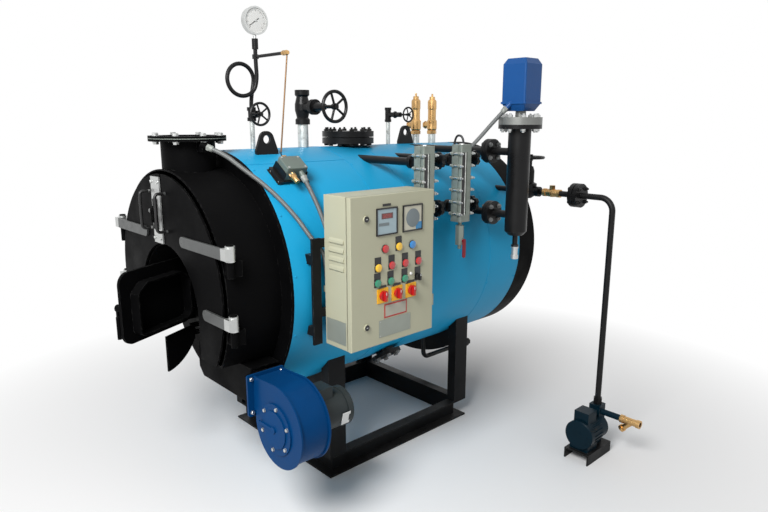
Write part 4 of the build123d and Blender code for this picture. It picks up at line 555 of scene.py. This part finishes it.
lamp_looks = {"red": lens_finish("lens_red", (.430, .008, .010), .08),
              "amber": lens_finish("lens_amber", (.760, .440, .012), .10),
              "green": lens_finish("lens_green", (.010, .210, .110), .08),
              "blue": lens_finish("lens_blue", (.010, .180, .480), .10)}
meter_pale = face_finish("meter_pale", (.300, .400, .440), .30, coat=.6)
meter_cream = face_finish("meter_cream", (.520, .500, .400), .34, coat=.3)
meter_grey = face_finish("meter_grey", (.160, .190, .200), .40, depth=.05)
display_red = lens_finish("display_red", (.090, .006, .006), .05)
digit_red = lens_finish("digit_red", (.300, .020, .016), .25)
corner_blue = face_finish("corner_blue", (.020, .200, .420), .34, coat=.4)
pointer_white = face_finish("pointer_white", (.72, .72, .70), .4, depth=.02)
plate_rim = face_finish("plate_rim", (.420, .030, .028), .36, depth=.05)
cream_plate = finish("cream_plate", (.400, .385, .320), .40, depth=.05, scale=20)

# %% Places on the cabinet door, in metres across and up
door_face = box_of("panel_instruments").low.x
isolators = [box_of(node).middle for node in ("isolator_a", "isolator_b", "isolator_c")]
selector = box_of("selector").middle
meters = ((.030, "digital"), (.166, "round"))
lamps = ((.021, 1.076, "red"), (.092, 1.076, "amber"), (.165, 1.074, "blue"), (-.015, 1.008, "amber"),
         (.055, 1.008, "red"), (.127, 1.006, "red"), (.200, 1.004, "red"), (-.018, .948, "green"),
         (.050, .946, "green"), (.125, .944, "green"))
untagged = (0, 2)    # the first and the third lamp have no tag
tags = [(y, z) for k, (y, z, colour) in enumerate(lamps) if k not in untagged] + [selector[1:]]
print("door has", len(lamps), "lamps and", len(tags), "tags")


def on_door(shell, y, z, wide, high, low, deep, look, edge=.0012):
    slab(shell, (door_face + low, y - wide / 2, z - high / 2),
         (door_face + low + deep, y + wide / 2, z + high / 2), edge, look)


# %% The two meters
rim_look, pale_look, display_look, digit_look, corner_look, cream_look, grey_look = range(7)


def draw_digits(shell, y, z):
    for k in range(4):
        at = y - .016 + k * .0105
        for bar in (-1, 0, 1):
            on_door(shell, at, z + .021 + bar * .0058, .0056, .0013, .0044, .0003, digit_look, 0)
        for bar in (-1, 1):
            on_door(shell, at + bar * .0033, z + .021, .0012, .0116, .0044, .0003, digit_look, 0)


def draw_meters(shell):
    wide, high, rim, z = .108, .104, .0055, 1.180
    knob = [(.036, 0), (.036, .0014), (.034, .0018), (0, .0018)]
    for y, kind in meters:
        for side in (-1, 1):
            on_door(shell, y + side * (wide - rim) / 2, z, rim, high, 0, .006, rim_look)
            on_door(shell, y, z + side * (high - rim) / 2, wide - rim * 1.6, rim, 0, .006, rim_look)
        face = pale_look if kind == "digital" else cream_look
        on_door(shell, y, z, wide - rim, high - rim, 0, .0030, face, .0004)
        if kind == "digital":
            on_door(shell, y, z + .021, .057, .021, .0031, .0012, display_look, .0003)
            draw_digits(shell, y, z)
            on_door(shell, y - .016, z - .010, .052, .011, .0031, .0010, grey_look, .0003)
        else:
            lathe(shell, (door_face + .0036, y, z), to_panel, knob, 36, grey_look)
            on_door(shell, y + .033, z - .032, .032, .028, .0030, .0009, corner_look, .0004)


piece("cabinet_meters", "cabinet_door",
      [black_plastic, meter_pale, display_red, digit_red, corner_blue, meter_cream, meter_grey,
       pointer_white], draw_meters, "panel_instruments")


# %% The signal lamps
def draw_lamps(shell):
    order = list(lamp_looks)
    bezel = [(.0168, 0), (.0168, .0030), (.0160, .0040), (.0148, .0040)]
    dome = [(.0152, 0), (.0150, .0050), (.0132, .0062), (.0080, .0072), (.0040, .0076), (0, .0078)]
    for y, z, colour in lamps:
        lathe(shell, (door_face, y, z), to_panel, bezel, 28, len(order))
        lathe(shell, (door_face + .0035, y, z), to_panel, dome, 28, order.index(colour))


piece("cabinet_lamps", "cabinet_door", [*lamp_looks.values(), black_plastic], draw_lamps)


# %% Tags, knob plates and the two bare plates
def draw_plates(shell):
    black, yellow, red, cream, steel, bright, white = range(7)
    screw = [(.0022, 0), (.0020, .0008), (0, .0012)]
    button = [(.0060, 0), (.0060, .003), (.0045, .006), (0, .0065)]
    for y, z in tags:
        on_door(shell, y, z + .012, .032, .056, 0, .0016, black, .0005)
    for x, y, z in isolators:
        on_door(shell, y, z + .0345, .040, .009, 0, .0016, black, .0005)
        on_door(shell, y, z - .001, .058, .058, 0, .0040, yellow, .0015)
    on_door(shell, .030, 1.242, .042, .009, 0, .0016, black, .0005)
    on_door(shell, .078, .831, .122, .056, 0, .0012, red, .0005)
    on_door(shell, .078, .831, .110, .044, .0010, .0008, cream, .0003)
    on_door(shell, .075, .7635, .170, .069, 0, .0012, steel, .0005)
    for y in (-.004, .154):
        for z in (.7350, .7920):
            lathe(shell, (door_face + .0012, y, z), to_panel, screw, 12, bright)
    lathe(shell, (door_face, .160, .958), to_panel, button, 16, white)


piece("cabinet_plates", "cabinet_door",
      [black_plastic, yellow_plastic, plate_rim, cream_plate, steel_plate, bright_zinc, pointer_white],
      draw_plates)


# %% The knobs' marks
def draw_mark(shell, knob):
    top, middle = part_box(knob)[1].x, box_of(knob).middle
    slab(shell, (top - .0004, middle.y - .0014, middle.z + .004),
         (top + .0004, middle.y + .0014, middle.z + .015), .0002)


for name, body, knob in (("isolator_mark_a", "isolator_knob_a", "isolator_a"),
                         ("isolator_mark_b", "isolator_knob_b", "isolator_b"),
                         ("isolator_mark_c", "isolator_knob_c", "isolator_c"),
                         ("selector_mark", "selector_knob", "selector")):
    piece(name, body, [pointer_white], lambda shell, knob=knob: draw_mark(shell, knob))

# %% [markdown]
# The cabinet itself is folded sheet steel. Its side towards the boiler's front has four pressed
# louvres and a small bare plate, and its door closes on two round quarter turn locks with a
# slot across them.

# %% Louvres and the side plate
def draw_cabinet_side(shell):
    louvre_ends, sheet, louvre_high = (.580, .665), box_of("panel_box").low.y, .022
    arch = [(.0, .0), (.35, .0042), (.75, .0058), (1.0, .0008)]
    for k in range(4):
        top = 1.116 - k * .034 + .011
        for low, high in zip(arch, arch[1:]):
            corners = []
            for x, (share, out) in zip((*louvre_ends, *louvre_ends[::-1]), (low, low, high, high)):
                corners.append(shell.verts.new((x, sheet - out, top - share * louvre_high)))
            shell.faces.new(corners)
        for x in louvre_ends:
            side = [shell.verts.new((x, sheet + .0002 - out, top - share * louvre_high))
                    for share, out in arch]
            back = [shell.verts.new((x, sheet + .0002, top - share * louvre_high))
                    for share, out in (arch[0], arch[-1])]
            shell.faces.new([back[0], *side[1:], back[1]])
    slab(shell, (.557, -.1486, .722), (.672, -.1466, .812), .0006, look=1)


piece("cabinet_side", "boiler", [cabinet_cream, steel_plate], draw_cabinet_side)


# %% The two locks
def draw_locks(shell):
    barrel = [(.0125, 0), (.0125, .0035), (.0112, .0068), (.0082, .0072), (.0078, .0062), (0, .0062)]
    for z in (1.198, .786):
        lathe(shell, (door_face, -.074, z), to_panel, barrel, 28)
        slab(shell, (door_face + .006, -.0780, z - .0015), (door_face + .0070, -.0700, z + .0015), .0003,
             look=1)


piece("cabinet_locks", "cabinet_door", [black_plastic, bright_zinc], draw_locks)

# %% [markdown]
# Flanged joints give a boiler much of its look. Each has a ring of bolts: heads on one side,
# nuts with a little thread on the other. The ring is set out as a fitter would, evenly on its
# bolt circle, and the two ends sit on the outer faces of the flange pair.

# %% A ring of bolts through a pair of flanges
def bolt_ring(shell, centre, axis, half_pair, circle, count, across, look=0, start=0.0, thread=.004,
              ends=(1, -1)):
    along = Vector(axis).normalized()
    first = Vector(to_back) if abs(along.x) > .5 else Vector(to_panel)
    first = (first - along * first.dot(along)).normalized()
    second = along.cross(first)
    for u, v in circle_of(count, circle, start):
        hole = Vector(centre) + first * u + second * v
        for end in ends:
            bolt(shell, hole + along * half_pair * end, along * end, across, look, thread if end > 0 else 0.0)


# %% Places of the flanges, the gauges and the fan, from the frame
eighth, half_gauge, head_lip = math.tau / 8, .033, .007
gauges, head, motor = box_of("level_gauges"), box_of("chamber_head"), box_of("blower_motor")
chimney, manhole, feed = box_of("chimney"), box_of("inspection_flanges"), box_of("feed_pipes")
gauge_middles = (gauges.low.y + half_gauge, gauges.high.y - half_gauge)
arm_heights = (box_of("cock_wheel_1").middle.z, box_of("cock_wheel_2").middle.z)
chamber_flange = (head.middle.x, head.middle.y, head.low.z + head_lip)
arm_flanges = ((.574, head.middle.y, 1.410), (.590, head.middle.y, 1.125))
feed_flange = (.884, feed.middle.y, 1.210)
fan_x, fan_z = motor.middle.x, motor.low.z + (motor.high.x - motor.low.x) / 2
print("fan axis", fan_x, round(fan_z, 4), "gauges at", [round(y, 4) for y in gauge_middles])


# %% Black bolts of the inspection, arm and feed flanges
def draw_black_bolts(shell):
    dull, manhole_half = 1, .029
    bolt_ring(shell, (0, manhole.middle.y, manhole.high.z - manhole_half), to_top, half_pair=manhole_half,
              circle=.106, count=12, across=.019, thread=.018)
    for place in arm_flanges:
        bolt_ring(shell, place, to_panel, half_pair=.0175, circle=.0420, count=4, across=.018, look=dull,
                  start=eighth, thread=.014)
    bolt_ring(shell, feed_flange, to_panel, half_pair=.022, circle=.0420, count=4, across=.016,
              start=eighth, thread=.016)
    for y in gauge_middles:
        for z in arm_heights:
            bolt_ring(shell, (.528, y, z), to_panel, half_pair=.009, circle=.0205, count=4, across=.0085,
                      start=eighth, thread=.007)
    down = math.radians(144)
    low = Vector((math.sin(down), 0, math.cos(down)))
    bolt_ring(shell, Vector((0, .382, drum.middle.z)) + low * .5595, low, half_pair=0, circle=.056, count=6,
              across=.020, look=dull, thread=.012, ends=(1,))


piece("flange_bolts", "boiler", [pipe_black, zinc], draw_black_bolts)


# %% Bright bolts of the chamber, the chimney and the fan
def chamber_ring(shell, way):
    bolt_ring(shell, chamber_flange, way, half_pair=.025, circle=.076, count=8, across=.020, thread=.016,
              ends=(1,))


def draw_bright_bolts(shell):
    gasket = [(.130, 0), (.1508, 0), (.1508, .0022), (.130, .0022), (.130, 0)]
    rim_half = .0105
    rim = chimney.high.z - rim_half
    chamber_ring(shell, to_top)
    bolt_ring(shell, (0, chimney.middle.y, rim), to_top, half_pair=rim_half, circle=.131, count=8,
              across=.021, thread=.008)
    lathe(shell, (0, chimney.middle.y, rim - .001), to_top, gasket, 64, look=1, capped=False)
    for dy in (-.066, .066):
        for dz in (-.066, .066):
            bolt(shell, (.468, -.372 + dy, .545 + dz), to_panel, across=.013)
    for u, v in circle_of(6, .0835, math.radians(20)):
        bolt(shell, (fan_x + u, -.434, fan_z + v), to_front, across=.012)


piece("bright_bolts", "boiler", [bright_zinc, gauge_grey], draw_bright_bolts)
piece("chamber_nuts", "boiler", [bright_zinc], lambda shell: chamber_ring(shell, (0, 0, -1)))

# %% [markdown]
# Each level gauge is a reflex glass clamped between a body and a cover by a row of through
# bolts down both sides. The bolts stand in small ears that swell out of the cover, which gives
# the gauge its toothed outline. The grooved glass shows as a bright line. Beside it a thin black
# strip is painted shade, standing for the shaded side of a recess. A hexagon plug closes each gauge's top.

# %% Clamp bolts of the two level gauges
def draw_gauge_bolts(shell):
    cast = 1
    stud = [(.0040, 0), (.0044, .001), (.0044, .066), (.0036, .069)]
    ear = [(.0072, 0), (.0080, .001), (.0080, .011), (.0072, .012)]
    plug = [(.0115, 0), (.0115, .010), (.0100, .0125)]
    for y in gauge_middles:
        for side in (-1, 1):
            at, root = y + side * .0385, y + side * .031
            for k in range(6):
                z = 1.146 + k * .0524
                lathe(shell, (.574, at, z), to_panel, stud, 10)
                for x in (.582, .621):
                    lathe(shell, (x - .006, at, z), to_panel, ear, 14, cast)
                    slab(shell, (x - .006, min(at, root), z - .0070), (x + .006, max(at, root), z + .0070),
                         look=cast)
                bolt(shell, (.629, at, z), to_panel, across=.0115)
                bolt(shell, (.576, at, z), (-1, 0, 0), across=.0115)
        lathe(shell, (.600, y, 1.4380), to_top, plug, 6)


piece("gauge_bolts", "boiler", [bright_zinc, gauge_grey], draw_gauge_bolts)

# %% The two sight glasses, each with a strip of painted shade
sight_glass = face_finish("sight_glass", (.620, .640, .610), .14, depth=.05, coat=.9)


def draw_sight_glasses(shell):
    back, foot, top = .6280, 1.140, 1.414
    for y in gauge_middles:
        # a thin black strip left of the glass: painted shade for the shaded side of a recess
        slab(shell, (back, y - .0290, foot), (.6293, y - .0090, top), .0005, look=1)
        slab(shell, (back, y - .0085, foot), (.6297, y - .0030, top), .0005)
        for k in range(3):
            groove = y + k * .0016
            slab(shell, (.6295, groove - .0078, foot + .002), (.6300, groove - .0072, top - .002), 0)


piece("sight_glasses", "boiler", [sight_glass, black_plastic], draw_sight_glasses)

# %% [markdown]
# The drum's blue cladding is thin sheet, rolled in courses and lapped. Small pan head screws
# hold it at both ends and along three bands, and a lap runs along the crown's shoulder. Bands
# and lap are real steps in the sheet, so they catch light at any angle.

# %% A point on the cladding
clad, bands, drum_sides = box_of("lagged_shell"), (.235, .440, .905), 120


def round_drum(angle, y, out=0.0):
    reach = drum.high.x + out
    return Vector((max(frame_low.x, reach * math.sin(angle)), y, drum.middle.z + reach * math.cos(angle)))


# %% The cladding's bands, lap and screws
def draw_bands(shell):
    for y in bands:
        rings = []
        for out, shift in ((-.0005, -.012), (.0011, -.012), (.0011, .012), (-.0005, .012)):
            rings.append([shell.verts.new(round_drum(math.tau * k / drum_sides, y + shift, out))
                          for k in range(drum_sides)])
        for low, high in zip(rings, rings[1:]):
            for k in range(drum_sides):
                shell.faces.new((low[k - 1], low[k], high[k], high[k - 1]))
        for k in range(drum_sides):
            shell.faces.new((rings[-1][k - 1], rings[-1][k], rings[0][k], rings[0][k - 1]))


def draw_lap(shell):
    crown_lap = math.radians(24)
    lap = [[shell.verts.new(round_drum(crown_lap + turn, y, out)) for y in (clad.low.y + .0005, bands[0])]
           for turn, out in ((-.020, -.0005), (-.020, .0012), (.020, .0012), (.020, -.0005))]
    for k in range(4):
        shell.faces.new((lap[k - 1][0], lap[k][0], lap[k][1], lap[k - 1][1]))
    for end in (0, 1):
        shell.faces.new([side[end] for side in lap])


def draw_cladding(shell):
    draw_bands(shell)
    draw_lap(shell)
    screws, pan_head = 14, [(.0046, 0), (.0044, .0012), (.0028, .0022), (0, .0026)]
    for y in (clad.low.y + .013, *bands, clad.high.y - .012):
        for k in range(screws):
            angle = math.tau * (k + .15) / screws
            lathe(shell, round_drum(angle, y, .0008), (math.sin(angle), 0, math.cos(angle)), pan_head, 8)


piece("cladding_laps", "boiler", [drum_blue], draw_cladding)

# %% [markdown]
# The dial gauge has a white face with a pointer, under a bright bezel. Its scale is a ring of
# short marks, four fine ones between every two strong ones. The marks are thin raised slabs
# rather than a picture, so the face needs no image.

# %% The dial's face, scale and pointer
dial_white = face_finish("dial_white", (.640, .640, .620), .30, depth=.02, coat=.6)
dial_ink = face_finish("dial_ink", (.012, .012, .012), .4, depth=.05)


def draw_dial(shell):
    ink, hub = 1, 2
    marks, sweep, scale_radius = 40, 270, .0440
    low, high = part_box("dial_gauge")
    middle = Vector((high.x - .0040, (low.y + high.y) / 2, high.z - .0565))
    lathe(shell, middle, to_panel, [(.0488, 0), (.0488, .0005), (0, .0005)], 48)
    for k in range(marks + 1):
        angle = math.radians(-sweep / 2 + k * sweep / marks)
        long, wide = (.0085, .0011) if k % 5 == 0 else (.0045, .0006)
        place = Matrix.Rotation(-angle, 4, "X") @ Matrix.Translation((0, 0, scale_radius - long / 2))
        slab(shell, (middle.x + .0005, middle.y - wide / 2, middle.z - long / 2),
             (middle.x + .0009, middle.y + wide / 2, middle.z + long / 2), 0, ink, turn=place)
    hand = Matrix.Rotation(math.radians(125), 4, "X") @ Matrix.Translation((0, 0, .010))
    slab(shell, (middle.x + .0012, middle.y - .0012, middle.z - .028),
         (middle.x + .0018, middle.y + .0012, middle.z + .028), .0003, ink, turn=hand)
    lathe(shell, middle + Vector((.0005, 0, 0)), to_panel,
          [(.0050, 0), (.0050, .0015), (.0035, .0024), (0, .0024)], 20, hub)


piece("dial_face", "boiler", [dial_white, dial_ink, bright_zinc], draw_dial)

# %% [markdown]
# The pressure switch is worked by a thin copper capillary with brass fittings at both ends.
# The tube is rigid, so its line follows the frame's own, and a skin of copper a hair larger
# than the frame's tube gives it its colour. The switch leans back against the drum's shoulder,
# so its parts are set out along that slope and not along the room's axes.

# %% The capillary
port = switch_middle + up_the_drum * .039
tap_y, tap_z = box_of("dial_gauge").middle.y, 1.808


def draw_capillary(shell):
    end = port + up_the_drum * .026
    knee = end + up_the_drum * ((end.x - .256) / math.cos(shoulder))
    top = Vector((.256, tap_y, tap_z))
    lathe(shell, top, knee - top, [(.0031, .012), (.0031, (knee - top).length - .010)], 12)


piece("capillary_tube", "boiler", [copper_tube], draw_capillary)


# %% The switch's black bracket
def on_switch(u, y, n):
    return switch_middle + up_the_drum * u + Vector((0, y, 0)) + out_of_drum * n


def draw_bracket(shell):
    cheek = [(-.041, .006), (.041, .006), (.047, -.046), (-.047, -.046)]
    screw = [(.0050, 0), (.0048, .0014), (.003, .0024), (0, .0026)]
    for y in (-.0515, .0485):
        near, far = [[shell.verts.new(on_switch(u, at, n)) for u, n in cheek] for at in (y, y + .003)]
        shell.faces.new(near)
        shell.faces.new(far[::-1])
        for k in range(4):
            shell.faces.new((near[k - 1], near[k], far[k], far[k - 1]))
    for low, high in ((-.0745, -.0510), (.0510, .0745)):
        corners = [[shell.verts.new(on_switch(u, y, n)) for u in (-.047, .047)]
                   for y in (low, high) for n in (-.0415, -.0385)]
        for a, b in ((0, 1), (2, 3), (0, 2), (1, 3)):
            shell.faces.new((corners[a][0], corners[a][1], corners[b][1], corners[b][0]))
        for k in (0, 1):
            shell.faces.new((corners[0][k], corners[1][k], corners[3][k], corners[2][k]))
        for u in (-.033, .033):
            lathe(shell, on_switch(u, (low + high) / 2, -.0385), out_of_drum, screw, 12, look=1)


piece("switch_bracket", "boiler", [pipe_black, bright_zinc], draw_bracket)


# %% The switch's screws and fittings
def draw_switch_parts(shell):
    golden = 1
    screw = [(.0048, 0), (.0046, .0014), (.003, .0024), (0, .0026)]
    nut = [(.0152, 0), (.0152, .013), (.0138, .015)]
    ferrule = [(.0140, 0), (.0140, .010), (.0090, .0125), (.0070, .0180)]
    trap = [(.0136, .016), (.0136, .027), (.0112, .029), (.0108, .050), (.0090, .0535), (0, .0535)]
    lid = switch_middle + out_of_drum * .029
    for u in (-.030, .030):
        for y in (-.038, .038):
            lathe(shell, lid + up_the_drum * u + Vector((0, y, 0)), out_of_drum, screw, 12)
    lathe(shell, port + up_the_drum * .001, up_the_drum, nut, 6, golden)
    lathe(shell, port + up_the_drum * .015, up_the_drum, ferrule, 14, golden)
    foot = switch_middle - up_the_drum * .034 - Vector((0, .022, 0))
    lathe(shell, foot, -up_the_drum, [(.0142, .004), (.0142, .014), (.0128, .016)], 6, golden)
    lathe(shell, foot, -up_the_drum, trap, 18, golden)
    lathe(shell, (.226, tap_y, tap_z), to_panel, [(.0102, 0), (.0102, .010), (.0094, .011)], 6, golden)
    lathe(shell, (.240, tap_y, tap_z), to_panel, [(.0100, 0), (.0100, .018), (.0082, .022)], 6, golden)


piece("switch_parts", "boiler", [bright_zinc, brass], draw_switch_parts)

# %% [markdown]
# The front's centre strip carries a black grip plate with a bright catch beside it. The
# blower's motor has a bare rating plate, and its fan cover is pierced with rings of round
# holes. A hole that is never looked into needs no depth, so a thin dark disc stands for it:
# its black is painted shade, the dark behind the cover.

# %% Centre strip parts
def draw_strip_parts(shell):
    bright = 1
    slab(shell, (-.058, -.5400, 1.120), (-.028, -.5312, 1.246), .0025)
    slab(shell, (-.052, -.5560, 1.150), (-.034, -.5395, 1.216), .004)
    catch = [(.0095, 0), (.0095, .014), (.0080, .018), (0, .0185)]
    lathe(shell, (-.070, -.531, 1.196), to_front, catch, 18, bright)
    for z in (1.086, 1.312):
        for x in (-.070, -.014):
            bolt(shell, (x, -.531, z), to_front, across=.011, look=bright)


piece("strip_parts", "left_smoke_door", [front_black, bright_zinc], draw_strip_parts)

# %% Washers of the four hinge knuckles
for name, body, side in (("knuckle_washers_left", "left_smoke_door", -1),
                         ("knuckle_washers_right", "right_smoke_door", 1)):
    def draw_washers(shell, side=side):
        washer = [(.0120, 0), (.0120, .0015), (.0100, .0025)]
        for z in (1.098, .845):
            for up in (-.0315, .0315):
                facing = (0, 0, 1 if up > 0 else -1)
                lathe(shell, (side * .484, -.505, z + up - .0015), facing, washer, 16)
    piece(name, body, [bright_zinc], draw_washers)

# %% The glands that hold the conduits' ends
gland_grey = finish("gland_grey", (.250, .265, .245), .42, depth=.06)


def draw_glands(shell):
    nut, collar = [(.0138, 0), (.0138, .010), (.0128, .011)], [(.0122, 0), (.0122, .010), (.0098, .015)]
    for points in (controller_points, flue_points, switch_points):
        first = Vector(points[0])
        ahead = (Vector(points[1]) - first).normalized()
        lathe(shell, first - ahead * .002, ahead, nut, 6)
        lathe(shell, first + ahead * .009, ahead, collar, 18)


piece("conduit_glands", "boiler", [gland_grey], draw_glands)


# %% Rating plate and the fan cover's holes
def draw_motor_parts(shell):
    lean = math.radians(14)
    tilt = Matrix.Rotation(lean, 4, "Y")
    plate = Vector((fan_x, 0, fan_z)) + Vector((math.cos(lean), 0, -math.sin(lean))) * .0755
    slab(shell, (plate.x - .0012, -.184, plate.z - .026), (plate.x + .0012, -.146, plate.z + .026),
         .0006, turn=tilt)
    # each hole is a thin black disc, painted shade for the dark behind the fan cover
    hole = [(.0042, 0), (.0042, .0009), (0, .0009)]
    for ring, count in ((.026, 10), (.042, 16), (.058, 22)):
        for u, v in circle_of(count, ring):
            lathe(shell, (fan_x + u, motor.high.y - .0003, fan_z + v), to_back, hole, 8, look=1)


piece("motor_parts", "boiler", [white_plate, black_plastic], draw_motor_parts)

# %% [markdown]
# The studio is plain: a pale floor that fades into a white background, one large soft light
# from the front left, a weaker one from the right, and a dim, even world that fills the
# shadows. White shows behind the boiler only to the camera, in reflections and through glass.
# So the background brightens only reflections, and the floor keeps the boiler's shadow.

# %% Which rays see the white background
def seen_directly(tree):
    ray = add(tree, "ShaderNodeLightPath").outputs
    sharp = maths(tree, "MAXIMUM", ray["Is Camera Ray"], ray["Is Glossy Ray"])
    return maths(tree, "MAXIMUM", sharp, ray["Is Transmission Ray"])


# %% Floor
half_wide, white_from, white_to = 14.0, .9, 2.6
floor_mesh = bpy.data.meshes.new("floor")
sheet = bmesh.new()
bmesh.ops.create_grid(sheet, x_segments=2, y_segments=2, size=half_wide)
sheet.to_mesh(floor_mesh)
sheet.free()
floor = new_object("floor", floor_mesh)
floor.location = (0.3, 0.4, -0.0015)
pale = bpy.data.materials.new("studio_floor")
pale.use_nodes = True
tree = pale.node_tree
matt = tree.nodes["Principled BSDF"]
matt.inputs["Base Color"].default_value = (.90, .90, .90, 1)
matt.inputs["Roughness"].default_value = .9
white = add(tree, "ShaderNodeEmission", {"Color": (1, 1, 1, 1), "Strength": 1.0})
away = add(tree, "ShaderNodeVectorMath", {0: own_place(tree)}, operation="LENGTH").outputs["Value"]
shown = maths(tree, "MULTIPLY", ramp(tree, away, white_from, white_to), seen_directly(tree))
blend = add(tree, "ShaderNodeMixShader", {0: shown, 1: matt.outputs[0], 2: white.outputs[0]})
tree.links.new(blend.outputs[0], tree.nodes["Material Output"].inputs[0])
floor.data.materials.append(pale)
print("floor fades to white from", white_from, "to", white_to, "metres out")

# %% World
world = bpy.data.worlds.new("studio")
bpy.context.scene.world = world
world.use_nodes = True
tree = world.node_tree
fill = tree.nodes["Background"]
fill.inputs["Color"].default_value = (1, 1, 1, 1)
fill.inputs["Strength"].default_value = .24
backdrop = add(tree, "ShaderNodeBackground", {"Color": (1, 1, 1, 1), "Strength": 1.0})
mixed = add(tree, "ShaderNodeMixShader", {0: seen_directly(tree), 1: fill.outputs[0], 2: backdrop.outputs[0]})
tree.links.new(mixed.outputs[0], tree.nodes["World Output"].inputs[0])
print("world fills with", round(fill.inputs["Strength"].default_value, 2))


# %% Two soft lights
def soft_light(name, place, aim, size, power):
    lamp = bpy.data.lights.new(name, "AREA")
    lamp.shape, lamp.size, lamp.energy = "DISK", size, power
    made = new_object(name, lamp)
    made.location = place
    made.rotation_euler = (Vector(aim) - Vector(place)).to_track_quat("-Z", "Y").to_euler()
    print(name, "light", size, "metres across,", power, "watts")


soft_light("key", (1.7, -2.65, 3.3), aim=(0.3, 0.0, 0.9), size=1.7, power=185)
soft_light("side", (4.0, 1.2, 3.0), aim=(0.3, 0.4, 0.8), size=2.4, power=7)
bpy.context.scene.view_settings.view_transform = "Standard"
